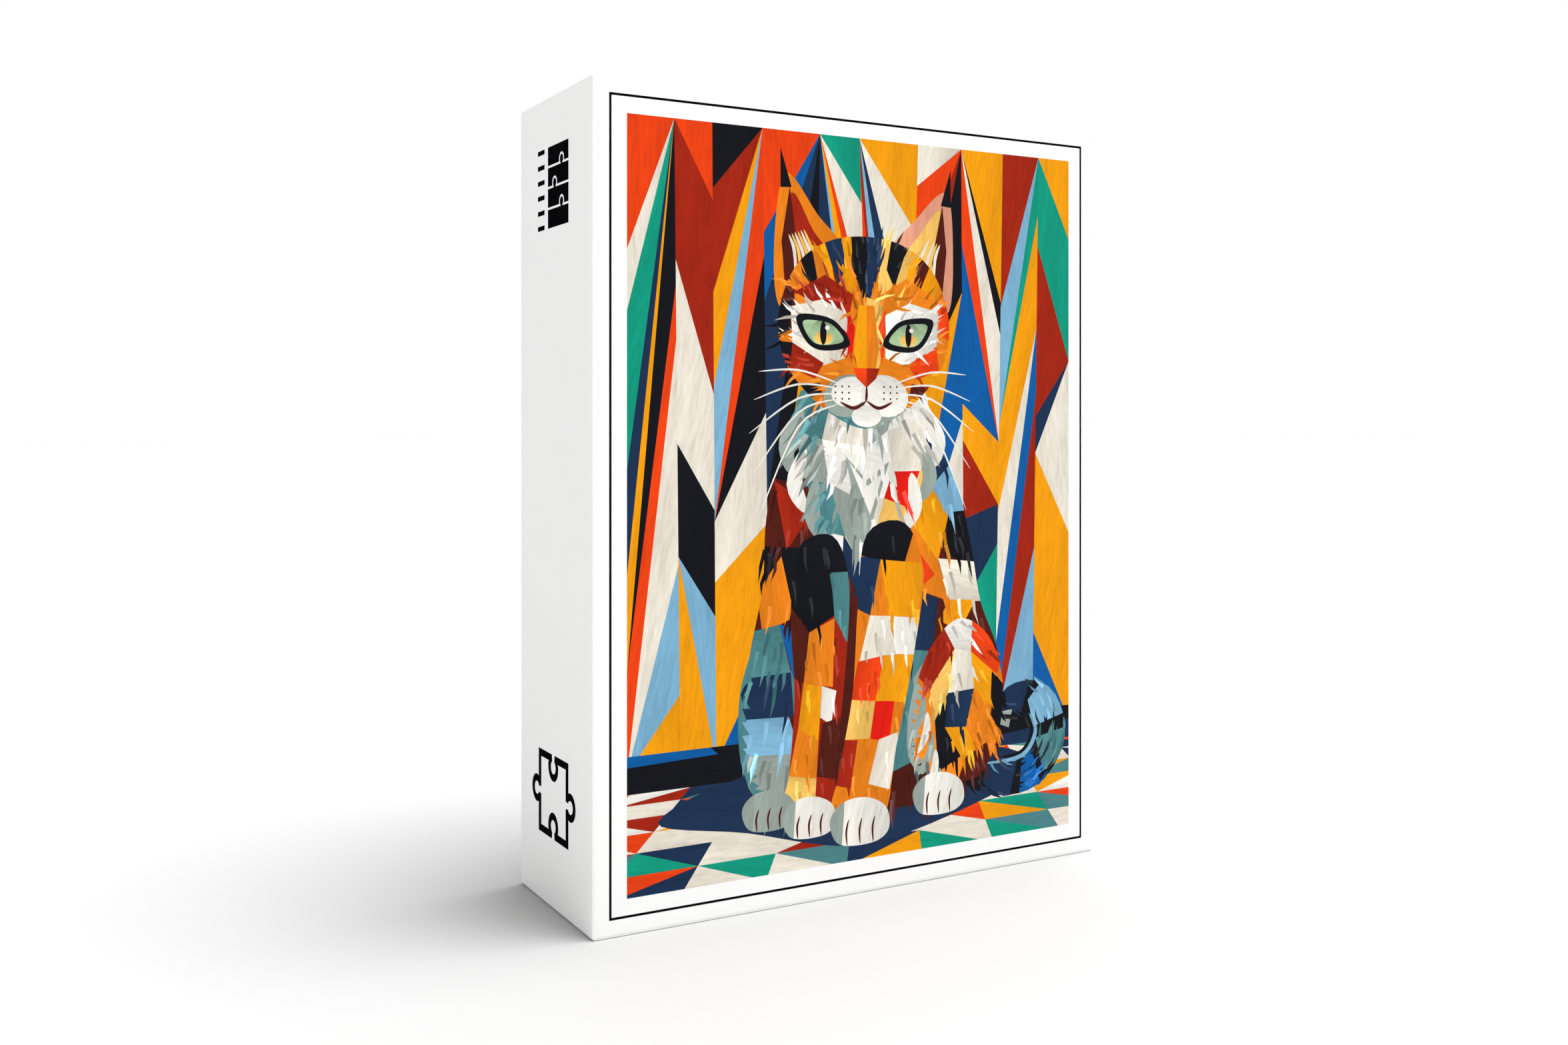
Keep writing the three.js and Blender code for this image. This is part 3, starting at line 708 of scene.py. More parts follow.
def paint_picture():
    paint([(0, 0), (PICTURE_W, 0), (PICTURE_W, PICTURE_H), (0, PICTURE_H)], "navy")
    paint_wall()
    paint_floor()
    paint_tail()
    paint_body()
    paint_haunch()
    paint_chest()
    paint_legs()
    for x, y, size, shade in ((14.2, 5.9, 1.45, "grey"), (33.4, 5.2, 1.6, "white"), (18.6, 4.7, 1.5, "white"),
                              (24.2, 3.6, 1.75, "white")):
        paint_paw(x, y, size, shade)
    paint_head()


paint_picture()


def counter_clockwise(ring):
    turn = sum(a[0] * b[1] - a[1] * b[0] for a, b in zip(ring, ring[1:] + ring[:1]))
    return ring if turn > 0 else ring[::-1]


def printed_patch(outline, place, cuts=()):
    """Triangles of the picture inside an outline, with their paint and brush marks.
    place turns a picture point into a point in space; cuts are lines that no triangle may cross."""
    low = [min(p[k] for p in outline) for k in (0, 1)]
    high = [max(p[k] for p in outline) for k in (0, 1)]
    used = []
    for i, layer in enumerate(layers):
        if all(layer["low"][k] < high[k] and layer["high"][k] > low[k] for k in (0, 1)):
            used.append(i)
    points, faces, edges = [], [], []
    for ring in [outline] + [layers[i]["points"] for i in used]:
        faces.append(list(range(len(points), len(points) + len(ring))))
        points += [Vector((p[0], p[1])) for p in counter_clockwise(list(ring))]
    for a, b in cuts:
        edges.append((len(points), len(points) + 1))
        points += [Vector(a), Vector(b)]
    found, _, triangles, _, _, sources = geometry.delaunay_2d_cdt(points, edges, faces, 1, 1e-5, True)
    kept, colours, brushes = [], [], []
    origin = place(Vector((0, 0)))
    for triangle, source in zip(triangles, sources):
        if 0 not in source:
            continue
        over = {used[s - 1] for s in source if s > 0}
        shown = [i for i in over if layers[i]["inside"] is None or layers[i]["inside"] in over]
        layer = layers[max(shown)]
        lean = Vector((math.cos(layer["lean"]), math.sin(layer["lean"])))
        across = Vector((-lean.y, lean.x))
        for corner in triangle:
            t = (found[corner] - layer["centre"]).dot(across) / max(layer["reach"], 0.01)
            colours.append([c * (1 + layer["fade"] * t) for c in layer["colour"]] + [1.0])
            brushes.append(tuple((place(lean) - origin).normalized()))
        kept.append(triangle)
    return [place(p) for p in found], kept, colours, brushes


def printed_mesh(name, parts, *materials):
    """One mesh of printed parts. A part has points, faces, colours, brush marks and, if it isn't all
    print, a material number for each face."""
    points, faces, colours, brushes, numbers = [], [], [], [], []
    for part_points, part_faces, part_colours, part_brushes, *part_numbers in parts:
        shift = len(points)
        points += part_points
        faces += [[shift + i for i in face] for face in part_faces]
        colours += part_colours
        brushes += part_brushes
        numbers += part_numbers[0] if part_numbers else [0] * len(part_faces)
    mesh = new_mesh(name, points, faces)
    mesh.polygons.foreach_set("material_index", numbers)
    paint_layer = mesh.color_attributes.new("paint", "FLOAT_COLOR", "CORNER")
    paint_layer.data.foreach_set("color", [v for colour in colours for v in colour])
    brush_layer = mesh.attributes.new("brush", "FLOAT_VECTOR", "CORNER")
    brush_layer.data.foreach_set("vector", [v for brush in brushes for v in brush])
    clean = bmesh.new()
    clean.from_mesh(mesh)
    bmesh.ops.delete(clean, geom=[v for v in clean.verts if not v.link_faces], context="VERTS")
    clean.to_mesh(mesh)
    clean.free()
    return new_piece(name, mesh, *materials)


def new_mesh(name, points, faces):
    mesh = bpy.data.meshes.new(name)
    mesh.from_pydata([tuple(p) for p in points], [], faces)
    return mesh


def ring_sides(levels, count):
    """The faces between each ring of count points and the next."""
    faces = []
    for level in range(levels - 1):
        for step in range(count):
            a, b = level * count + step, level * count + (step + 1) % count
            faces.append((a, b, b + count, a + count))
    return faces


def new_piece(name, mesh, *materials):
    for material in materials:
        mesh.materials.append(material)
    piece = bpy.data.objects.new(name, mesh)
    scene.collection.objects.link(piece)
    return piece


# ---------------------------------------------------------------- trays, wraps and print

PAPER = 0.2 * MM
EDGE_STEPS, WALL_STEPS, RIM_STEPS = 6, 11, 4
EDGE_RADIUS = 1.2 * MM
RIM_RADIUS = 0.4 * MM
TURN_IN = 15 * MM
board_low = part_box("lid_board")[0]
BOARD_INSET = board_low.x - lid_low.x
BOARD = 1.5 * MM
GLUE = 0.04 * MM
FLAP_OUTER = BOARD_INSET + BOARD + GLUE
FLAP_INNER = FLAP_OUTER + PAPER
LEAST_RADIUS = 0.25 * MM


def smooth_shaded(mesh, angle=40):
    """Smooth shading that keeps edges sharper than angle."""
    mesh.polygons.foreach_set("use_smooth", [True] * len(mesh.polygons))
    mesh.set_sharp_from_angle(angle=math.radians(angle))


def tray_ring(low, high, inset, y, steps=6):
    """A level ring of a tray's walls, pulled in by inset, with its corners rounded to match."""
    radius = max(EDGE_RADIUS - inset, LEAST_RADIUS)
    ring = []
    corners = ((high.x, high.z), (low.x, high.z), (low.x, low.z), (high.x, low.z))
    for quarter, (x, z) in enumerate(corners):
        side_x, side_z = (1, -1, -1, 1)[quarter], (1, 1, -1, -1)[quarter]
        centre = (x - side_x * (inset + radius), z - side_z * (inset + radius))
        for step in range(steps + 1):
            angle = math.pi / 2 * (quarter + step / steps)
            across, up = centre[0] + radius * math.cos(angle), centre[1] + radius * math.sin(angle)
            ring.append(Vector((across, y, up)))
    return ring


def wrap_paper(name, node, panel_side, material):
    """The printed paper that covers a tray: its panel, its walls, and the edge turned in over the rim."""
    low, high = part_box(node)
    panel = high.y if panel_side > 0 else low.y
    rim = low.y if panel_side > 0 else high.y
    inward = -panel_side

    def ring(inset, depth):
        return tray_ring(low, high, inset, panel + inward * depth)

    depth = abs(rim - panel)
    rings = []
    for step in range(EDGE_STEPS + 1):
        angle = math.pi / 2 * step / EDGE_STEPS
        rings.append(ring(EDGE_RADIUS * (1 - math.sin(angle)), EDGE_RADIUS * (1 - math.cos(angle))))
    for step in range(1, WALL_STEPS + 1):
        rings.append(ring(0, EDGE_RADIUS + (depth - EDGE_RADIUS - RIM_RADIUS) * step / WALL_STEPS))
    for step in range(1, RIM_STEPS + 1):
        angle = math.pi / 2 * step / RIM_STEPS
        rings.append(ring(RIM_RADIUS * (1 - math.cos(angle)), depth - RIM_RADIUS * (1 - math.sin(angle))))
    for step in range(RIM_STEPS + 1):
        angle = math.pi / 2 * step / RIM_STEPS
        inset = FLAP_INNER - RIM_RADIUS * (1 - math.sin(angle))
        rings.append(ring(inset, depth - RIM_RADIUS * (1 - math.cos(angle))))
    rings.append(ring(FLAP_INNER, depth - TURN_IN))
    rings.append(ring(FLAP_OUTER, depth - TURN_IN))
    rings.append(ring(FLAP_OUTER, depth - PAPER))
    rings.append(ring(PAPER, depth - PAPER))
    rings.append(ring(PAPER, PAPER))
    count = len(rings[0])
    faces = ring_sides(len(rings), count)
    faces.append(tuple(range(count)))
    faces.append(tuple(range((len(rings) - 1) * count, len(rings) * count)))
    mesh = new_mesh(name, [p for r in rings for p in r], faces)
    shell = bmesh.new()
    shell.from_mesh(mesh)
    bmesh.ops.recalc_face_normals(shell, faces=shell.faces)
    shell.to_mesh(mesh)
    shell.free()
    smooth_shaded(mesh, 50)
    piece = new_piece(name, mesh, material)
    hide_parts(node)
    return piece


lid_paper = laminated_paper("lid_paper", (0.87, 0.87, 0.865))
base_paper = laminated_paper("base_paper", (0.85, 0.85, 0.845))
board = greyboard()
tape = plain_stock("stay_paper", 0.8, (300, 4), (0.5, 0.37, 0.2), (0.62, 0.48, 0.28), (900, 3),
                   (0.00004, 0.6))
black_ink = ink("black_ink", [0.002, 0.002, 0.003])
picture_print = painted_print("picture_print", 0.5, False)

lid_wrap = wrap_paper("lid_wrap_paper", "lid_wrap", -1, lid_paper)
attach(lid_wrap, "lid")
base_wrap = wrap_paper("base_wrap_paper", "base_wrap", 1, base_paper)
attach(base_wrap, "base")


def dress(node, material):
    """Gives a CAD node that stays in view its finish."""
    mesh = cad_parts[node].data
    mesh.materials.clear()
    mesh.materials.append(material)


for tray in ("lid", "base"):
    dress(f"{tray}_board", board)
    for corner in range(1, 5):
        dress(f"{tray}_corner_stay_{corner}", tape)

# The print's places on the picture panel, from the panel's edges
INK_LIFT = 0.02 * MM
LINE_MARGIN = 5.6 * MM
LINE_WIDTH = 0.8 * MM
PICTURE_MARGIN = 11.6 * MM


def flat_print(name, rings, holes, place, material):
    """Solid ink inside the rings and outside the holes, in the plane that place turns into space."""
    points, faces = [], []
    for ring in rings + holes:
        faces.append(list(range(len(points), len(points) + len(ring))))
        points += [Vector((p[0], p[1])) for p in counter_clockwise(list(ring))]
    found, _, triangles, _, _, sources = geometry.delaunay_2d_cdt(points, [], faces, 1, 1e-7, True)
    solid = [t for t, source in zip(triangles, sources) if source and max(source) < len(rings)]
    return new_piece(name, new_mesh(name, [place(p) for p in found], solid), material)


def rectangle(low_x, low_y, high_x, high_y):
    return [(low_x, low_y), (high_x, low_y), (high_x, high_y), (low_x, high_y)]


def on_panel(p):
    """A point of the picture panel, from metres right and up of its lower left corner."""
    return Vector((lid_low.x + p[0], lid_low.y - INK_LIFT, lid_low.z + p[1]))


def on_picture(p):
    width, height = WIDTH - 2 * PICTURE_MARGIN, HEIGHT - 2 * PICTURE_MARGIN
    return on_panel((PICTURE_MARGIN + p[0] / PICTURE_W * width, PICTURE_MARGIN + p[1] / PICTURE_H * height))


whole_picture = rectangle(0, 0, PICTURE_W, PICTURE_H)
panel_picture = printed_mesh("panel_picture", [printed_patch(whole_picture, on_picture)], picture_print)
inner = LINE_MARGIN + LINE_WIDTH
frame_line = flat_print(
    "panel_frame_line",
    [rectangle(LINE_MARGIN, LINE_MARGIN, WIDTH - LINE_MARGIN, HEIGHT - LINE_MARGIN)],
    [rectangle(inner, inner, WIDTH - inner, HEIGHT - inner)],
    on_panel, black_ink)
for piece in (panel_picture, frame_line):
    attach(piece, "lid")

# A jigsaw piece in its own plane, in the sizes of the CAD pieces
PITCH = 18.4 * MM
CARD = 1.9 * MM
KNOB_RADIUS = 2.5 * MM
KNOB_REACH = 2.1 * MM
NECK_HALF = 1.6 * MM


def piece_outline(sides, steps=10, grow=0.0, scale=1.0):
    """Each of the four sides has a knob (1), a socket (-1) or neither (0)."""
    half = PITCH / 2 + grow
    ring = []
    for side, out in enumerate(sides):
        turn = side * math.pi / 2
        radius = KNOB_RADIUS + out * grow
        neck = NECK_HALF + out * grow
        open_angle = math.asin(neck / radius)
        along_away = [(-half, half)]
        if out:
            along_away.append((-neck * 1.3, half))
            for step in range(steps + 1):
                angle = -math.pi + open_angle + step / steps * 2 * (math.pi - open_angle)
                away = out * (KNOB_REACH + radius * math.cos(angle)) + PITCH / 2
                along_away.append((radius * math.sin(angle), away))
            along_away.append((neck * 1.3, half))
        for along, away in along_away:
            ring.append((scale * (along * math.cos(turn) + away * math.sin(turn)),
                         scale * (along * math.sin(turn) - away * math.cos(turn))))
    return ring


# The spine's print is generic: four interlocking tiles, a row of plain marks, and one outlined piece.
TILE_LONG, TILE_TALL, TILE_GAP = 19 * MM, 6.2 * MM, 0.75 * MM
TILE_KNOB, TILE_KNOB_RISE, TILE_SOCKET, TILE_NECK = 1.5 * MM, 1.5 * MM, 2.25 * MM, 0.9 * MM
TILE_KNOB_SHIFT = 3.2 * MM
MARK_LONG, MARK_TALL = 6.5 * MM, 1.6 * MM
TILE_FROM_FRONT, MARK_FROM_FRONT, EMBLEM_FROM_FRONT = 30 * MM, 46 * MM, 34.5 * MM
TILES_LOW = 0.836 * HEIGHT
EMBLEM_HEIGHT = 0.138 * HEIGHT
EMBLEM_SCALE = 1.38
EMBLEM_LINE = 0.9 * MM
EMBLEM_SIDES = (-1, 1, -1, 1)
TILES, MARKS = 4, 6
ROUND_STEPS, EMBLEM_STEPS = 28, 16


def add_spine_print(name, place):
    """One spine's print, joined into one piece. place puts a point, in metres back from the front
    and up from the foot, on that spine."""
    pieces = []
    for number in range(TILES):
        low = TILES_LOW + number * (TILE_TALL + TILE_GAP)
        top = low + TILE_TALL
        knob_at = TILE_FROM_FRONT + TILE_KNOB_SHIFT * (1 if number % 2 else -1)
        socket_at = 2 * TILE_FROM_FRONT - knob_at
        tile = rectangle(TILE_FROM_FRONT - TILE_LONG / 2, low, TILE_FROM_FRONT + TILE_LONG / 2, top)
        socket = oval(socket_at, low + TILE_KNOB_RISE - TILE_GAP, TILE_SOCKET, TILE_SOCKET, steps=ROUND_STEPS)
        holes = [socket] if number else []
        pieces.append(flat_print(f"{name}_tile_{number + 1}", [tile], holes, place, black_ink))
        if number < TILES - 1:
            knob = oval(knob_at, top + TILE_KNOB_RISE, TILE_KNOB, TILE_KNOB, steps=ROUND_STEPS)
            neck = rectangle(knob_at - TILE_NECK, top - INK_LIFT, knob_at + TILE_NECK, top + TILE_GAP)
            pieces.append(flat_print(f"{name}_knob_{number + 1}", [knob, neck], [], place, black_ink))
    marks = []
    pitch = (TILES * TILE_TALL + (TILES - 1) * TILE_GAP - MARK_TALL) / (MARKS - 1)
    mark_start, mark_end = MARK_FROM_FRONT - MARK_LONG / 2, MARK_FROM_FRONT + MARK_LONG / 2
    for number in range(MARKS):
        low = TILES_LOW + number * pitch
        marks.append(rectangle(mark_start, low, mark_end, low + MARK_TALL))
    pieces.append(flat_print(f"{name}_marks", marks, [], place, black_ink))

    def centred(ring):
        return [(EMBLEM_FROM_FRONT + u, EMBLEM_HEIGHT + v) for u, v in ring]

    pieces.append(flat_print(
        f"{name}_emblem",
        [centred(piece_outline(EMBLEM_SIDES, EMBLEM_STEPS, EMBLEM_LINE, EMBLEM_SCALE))],
        [centred(piece_outline(EMBLEM_SIDES, EMBLEM_STEPS, -EMBLEM_LINE, EMBLEM_SCALE))],
        place, black_ink))
    bpy.ops.object.select_all(action="DESELECT")
    for piece in pieces:
        piece.select_set(True)
    bpy.context.view_layer.objects.active = pieces[0]
    bpy.ops.object.join()
    pieces[0].name = name
    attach(pieces[0], "lid")


def on_left_spine(p):
    return Vector((lid_low.x - INK_LIFT, lid_low.y + p[0], lid_low.z + p[1]))


def on_right_spine(p):
    return Vector((lid_high.x + INK_LIFT, lid_low.y + p[0], lid_low.z + p[1]))


add_spine_print("left_spine_print", on_left_spine)
add_spine_print("right_spine_print", on_right_spine)

# ---------------------------------------------------------------- the jigsaw pieces

piece_print = painted_print("piece_print", 0.45, True)
piece_back = plain_stock("piece_back", 0.75, (220, 4), (0.2, 0.26, 0.31), (0.29, 0.35, 0.4), (900, 3),
                         (0.00005, 0.6))
piece_edge = plain_stock("piece_edge", 0.95, (1300, 4, 0.7), (0.3, 0.28, 0.25), (0.5, 0.47, 0.43),
                         (1600, 3), (0.00008, 0.8))


def face_loop(node, facing):
    """The outline of the flat side of a CAD plate that looks along facing, with its centre and normal."""
    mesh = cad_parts[node].data

    def key(v):
        return tuple(round(c, 7) for c in mesh.vertices[v].co)

    seen = [p for p in mesh.polygons if p.normal.dot(facing) > 0.9]
    borders = {}
    for polygon in seen:
        ring = [key(v) for v in polygon.vertices]
        for a, b in zip(ring, ring[1:] + ring[:1]):
            if (b, a) in borders:
                del borders[(b, a)]
            else:
                borders[(a, b)] = None
    after = {a: b for a, b in borders}
    start = min(after)
    loop, here = [start], after[start]
    while here != start:
        loop.append(here)
        here = after[here]
    points = [Vector(p) for p in loop]
    centre = sum(points, Vector()) / len(points)
    return points, centre, seen[0].normal.copy()


# The pieces' softened upper edge, and picture units to a metre on the finished puzzle, 0.5 m wide
EDGE_SOFT = 0.22 * MM
EDGE_HALFWAY = 0.3
CUT_SCALE = PICTURE_W / 0.5
FRONT_PIECES = 30


def pulled_in(ring, distance):
    """A ring moved in towards its middle by about a distance, corner by corner."""
    moved = []
    for a, b, c in zip(ring[-1:] + ring[:-1], ring, ring[1:] + ring[:1]):
        first, second = (b - a).normalized(), (c - b).normalized()
        side = Vector((-first.y - second.y, first.x + second.x))
        moved.append(b + side.normalized() * distance if side.length > 1e-6 else b.copy())
    return moved


def card_part(outline, window, place, soft=True):
    """A die-cut piece: printed face, softened upper edge, cut side and plain back. outline is in the
    piece's plane, window is where on the picture it was cut, and place(point, depth) puts a point of
    the plane into space, at a depth below the printed face."""
    ring = counter_clockwise([Vector(p) for p in outline])
    face_ring = pulled_in(ring, EDGE_SOFT) if soft else ring
    on_the_picture = [(window[0] + p.x * CUT_SCALE, window[1] + p.y * CUT_SCALE) for p in face_ring]

    def from_picture(p):
        return place(((p[0] - window[0]) / CUT_SCALE, (p[1] - window[1]) / CUT_SCALE), 0.0)

    points, faces, colours, brushes = printed_patch(on_the_picture, from_picture)
    numbers = [0] * len(faces)
    levels = [(face_ring, 0.0)]
    if soft:
        levels += [(pulled_in(ring, EDGE_HALFWAY * EDGE_SOFT), EDGE_HALFWAY * EDGE_SOFT), (ring, EDGE_SOFT)]
    levels += [(ring, CARD)]
    first, count = len(points), len(ring)
    for level_ring, depth in levels:
        points += [place(p, depth) for p in level_ring]
    edge_colour = sum((Vector(c[:3]) for c in colours), Vector()) / len(colours)
    for level in range(len(levels) - 1):
        rolled_edge = soft and level == 0
        for step in range(count):
            a, b = first + level * count + step, first + level * count + (step + 1) % count
            faces.append([a, a + count, b + count, b])
            numbers.append(0 if rolled_edge else 1)
    faces.append([first + (len(levels) - 1) * count + step for step in range(count)][::-1])
    numbers.append(2)
    added = (len(levels) - 1) * count * 4 + count
    colours += [(*edge_colour, 1.0)] * added
    brushes += [brushes[0]] * added
    return points, faces, colours, brushes, numbers


def picture_window(rng):
    """Somewhere on the picture to cut a piece from."""
    return (rng.uniform(2, PICTURE_W - 2), rng.uniform(2, PICTURE_H - 2))


def dress_front_pieces():
    """Each separate CAD piece gets a printed, die-cut body with exactly its outline."""
    rng = random.Random(5)
    for number in range(1, FRONT_PIECES + 1):
        node = f"jigsaw_piece_{number:02d}"
        loop, centre, normal = face_loop(node, Vector((0, -1, 0)))
        across = (loop[1] - loop[0]).normalized()
        up = normal.cross(across)
        outline = [((p - centre).dot(across), (p - centre).dot(up)) for p in loop]

        def place(p, depth):
            return centre + across * p[0] + up * p[1] - normal * depth

        piece = printed_mesh(f"die_cut_piece_{number:02d}", [card_part(outline, picture_window(rng), place)],
                             piece_print, piece_edge, piece_back)
        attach(piece, "bag")
        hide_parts(node)


dress_front_pieces()


def heap_part(prototype, matrix):
    """A loose piece, with its brush marks, turned into its place."""
    points, faces, colours, brushes, numbers = prototype
    turn = matrix.to_3x3()
    return [matrix @ p for p in points], faces, colours, [tuple(turn @ Vector(b)) for b in brushes], numbers


LOOSE_SHAPES, LOOSE_STEPS = 28, 4
LOOSE_SPACING, LOOSE_REACH = 12.5 * MM, 13.4 * MM
HEAP_SHOULDER, SHOULDER_LAYERS = 28 * MM, 3
FACE_OUT_SHARE = 0.62


def lying_flat(p, depth):
    return Vector((p[0], p[1], -depth))


def loose_heap():
    """The rest of the pieces, shaken down into the foot of the bag. Only the outer ones are built."""
    rng = random.Random(23)
    low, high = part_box("loose_piece_heap")
    prototypes = []
    for _ in range(LOOSE_SHAPES):
        sides = [rng.choice((-1, 1)) for _ in range(4)]
        outline = piece_outline(sides, LOOSE_STEPS)
        prototypes.append(card_part(outline, picture_window(rng), lying_flat, soft=False))
    shoulder = high.z - HEAP_SHOULDER
    places = []

    def scatter(corner, first, second, outward, lean):
        """Pieces on a jittered grid over one side of the heap, tipped by up to lean degrees."""
        columns = max(1, round(first.length / LOOSE_SPACING))
        rows = max(1, round(second.length / LOOSE_SPACING))
        for column in range(columns + 1):
            for row in range(rows + 1):
                u = min(max((column + rng.uniform(-0.3, 0.3)) / columns, 0), 1)
                v = min(max((row + rng.uniform(-0.3, 0.3)) / rows, 0), 1)
                places.append((corner + first * u + second * v, outward, lean))

    inset = LOOSE_REACH * 0.93
    a = Vector((low.x + inset, low.y + 4 * MM, low.z + inset))
    b = Vector((high.x - inset, high.y - 4 * MM, shoulder))
    wide, deep, tall = Vector((b.x - a.x, 0, 0)), Vector((0, b.y - a.y, 0)), Vector((0, 0, b.z - a.z))
    scatter(a, wide, tall, Vector((0, -1, 0)), 16)
    scatter(a + deep, wide, tall, Vector((0, 1, 0)), 10)
    side_deep, side_start = deep - Vector((0, 16 * MM, 0)), a + Vector((0, 8 * MM, 0))
    scatter(side_start - Vector((inset - 4 * MM, 0, 0)), side_deep, tall, Vector((-1, 0, 0)), 14)
    scatter(side_start + wide + Vector((inset - 4 * MM, 0, 0)), side_deep, tall, Vector((1, 0, 0)), 14)
    scatter(side_start - Vector((0, 0, inset - 5 * MM)), wide, side_deep, Vector((0, 0, -1)), 12)
    # Above its shoulder the heap closes in, layer by layer.
    for layer in range(SHOULDER_LAYERS):
        narrower = (4 + 9 * layer) * MM
        start = Vector((a.x + narrower, a.y + 9 * MM + layer * 2 * MM, shoulder + (4 + 5 * layer) * MM))
        layer_wide = wide - Vector((2 * narrower, 0, 0))
        layer_deep = deep - Vector((0, (18 + 4 * layer) * MM, 0))
        scatter(start, layer_wide, layer_deep, Vector((0, -0.25, 1)), 26)
    parts = []
    for centre, outward, lean in places:
        facing = outward.normalized() * (1 if rng.random() < FACE_OUT_SHARE else -1)
        turn = facing.to_track_quat("Z", "Y").to_matrix().to_4x4()
        tip = Matrix.Rotation(math.radians(rng.uniform(-lean, lean)), 4, "X") @ Matrix.Rotation(
            math.radians(rng.uniform(-lean, lean)), 4, "Y")
        spin = Matrix.Rotation(rng.uniform(0, 2 * math.pi), 4, "Z")
        matrix = Matrix.Translation(centre) @ turn @ tip @ spin
        parts.append(heap_part(rng.choice(prototypes), matrix))
    heap = printed_mesh("loose_pieces", parts, piece_print, piece_edge, piece_back)
    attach(heap, "bag")
    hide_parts("loose_piece_heap")


loose_heap()

# ---------------------------------------------------------------- the film bag

FILM = 0.08 * MM
SEAL = 10 * MM
FILL_HEIGHT = 143 * MM
FRONT_STEPS, SIDE_STEPS, CORNER_STEPS = 40, 12, 5
RING_RISE = 1.6 * MM


def clear_film():
    """Polyethylene film: thin and hazy, with a soft gloss on its creases."""
    m = Nodes("bag_film", 0.12, Transmission_Weight=1.0, IOR=1.38)
    m.shader.inputs["Base Color"].default_value = (0.96, 0.975, 0.98, 1)
    place = m.object_space()
    m.link(m.ramp(m.noise(place, 45, 3), (0.3, 0.08), (0.75, 0.2)), "Roughness")
    m.bump(m.noise(place, 240, 3, 0.6), 0.00025, 0.5)
    return m.material


def creased(point, middle, towards, slack):
    """A point of the film, drawn in by long creases, cross creases and broad hollows, deeper where
    the film is slack but never past its room."""
    long_creases = abs(noise.noise(Vector((point.x * 38, point.y * 60, point.z * 9))))
    cross_creases = abs(noise.noise(Vector((point.x * 16 + 5, point.y * 30, point.z * 55 + 3))))
    broad = noise.noise(Vector((point.x * 12, point.y * 12 + 9, point.z * 14))) * 0.5 + 0.5
    depth = (2.2 * long_creases + 1.6 * cross_creases + 1.2 * broad) * MM * slack
    room = 0.35 * abs(middle.y - point.y) if slack > 0.5 else 1.1 * MM
    return point + towards * min(depth, room)


def bag_outline(z, wide, near, far, corner):
    """One level ring of the bag: a rectangle with rounded corners."""
    outline = []
    corners = (((wide - corner), (far - corner), 0), ((corner - wide), (far - corner), 1),
               ((corner - wide), (near + corner), 2), ((wide - corner), (near + corner), 3))
    for number, (x, y, quarter) in enumerate(corners):
        for step in range(CORNER_STEPS + 1):
            angle = math.pi / 2 * (quarter + step / CORNER_STEPS)
            outline.append(Vector((x + corner * math.cos(angle), y + corner * math.sin(angle), z)))
        following = corners[(number + 1) % 4]
        start = outline[-1]
        if number in (0, 2):
            end, steps = Vector((following[0], start.y, z)), FRONT_STEPS
        else:
            end, steps = Vector((start.x, following[1], z)), SIDE_STEPS
        outline += [start.lerp(end, k / steps) for k in range(1, steps)]
    return outline


def film_bag():
    """A lofted pouch with creased film, slack above the pieces and crimped flat at its seal."""
    low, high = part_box("piece_bag")
    centre_x = (low.x + high.x) / 2
    half, front, back = (high.x - low.x) / 2, low.y, high.y
    fill = low.z + FILL_HEIGHT
    sections = [
        # height, half width, front, back, corner
        (low.z, half - 8 * MM, front + 6 * MM, back - 6 * MM, 7 * MM),
        (low.z + 2.2 * MM, half - 3 * MM, front + 2.2 * MM, back - 2.2 * MM, 9 * MM),
        (low.z + 7 * MM, half, front, back, 11 * MM),
        (fill, half, front, back, 11 * MM),
        (fill + 24 * MM, half - 0.5 * MM, front + 12 * MM, back, 9 * MM),
        (fill + 48 * MM, half - 1 * MM, back - 12 * MM, back, 4 * MM),
        (high.z - SEAL - 4 * MM, half - 1 * MM, back - 4 * MM, back - 1 * MM, 1 * MM),
        (high.z - SEAL, half - 1 * MM, back - 2.8 * MM, back - 1.6 * MM, 0.5 * MM),
        (high.z, half - 1 * MM, back - 2.6 * MM, back - 1.8 * MM, 0.35 * MM),
    ]
    rings = []
    for lower, upper in zip(sections, sections[1:]):
        steps = max(1, round((upper[0] - lower[0]) / RING_RISE))
        for step in range(steps):
            t = step / steps
            rings.append([a + (b - a) * t for a, b in zip(lower, upper)])
    rings.append(list(sections[-1]))
    points = []
    for ring in rings:
        points.append([Vector((centre_x + p.x, p.y, p.z)) for p in bag_outline(*ring)])
    count = len(points[0])
    for ring in points:
        if ring[0].z > high.z - SEAL - 1 * MM:
            continue
        middle = sum(ring, Vector()) / count
        slack = min(max((ring[0].z - fill + 12 * MM) / (50 * MM), 0.12), 1.0)
        for index, point in enumerate(ring):
            inward = Vector((middle.x - point.x, middle.y - point.y, 0))
            on_long_side = abs(point.x - centre_x) < half - 12 * MM
            towards = Vector((0, math.copysign(1, inward.y), 0)) if on_long_side else inward.normalized()
            ring[index] = creased(point, middle, towards, slack)
    faces = ring_sides(len(points), count)
    faces.append(tuple(range(count))[::-1])
    faces.append(tuple(range((len(points) - 1) * count, len(points) * count)))
    mesh = new_mesh("film_bag", [p for ring in points for p in ring], faces)
    bag = new_piece("film_bag", mesh, clear_film())
    thick = bag.modifiers.new("film", "SOLIDIFY")
    thick.thickness = FILM
    thick.offset = -1
    apply_modifiers(bag)
    smooth_shaded(bag.data, 60)
    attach(bag, "bag")
    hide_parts("piece_bag")


def apply_modifiers(piece):
    bpy.context.view_layer.update()
    finished = bpy.data.meshes.new_from_object(piece.evaluated_get(bpy.context.evaluated_depsgraph_get()))
    piece.modifiers.clear()
    piece.data = finished


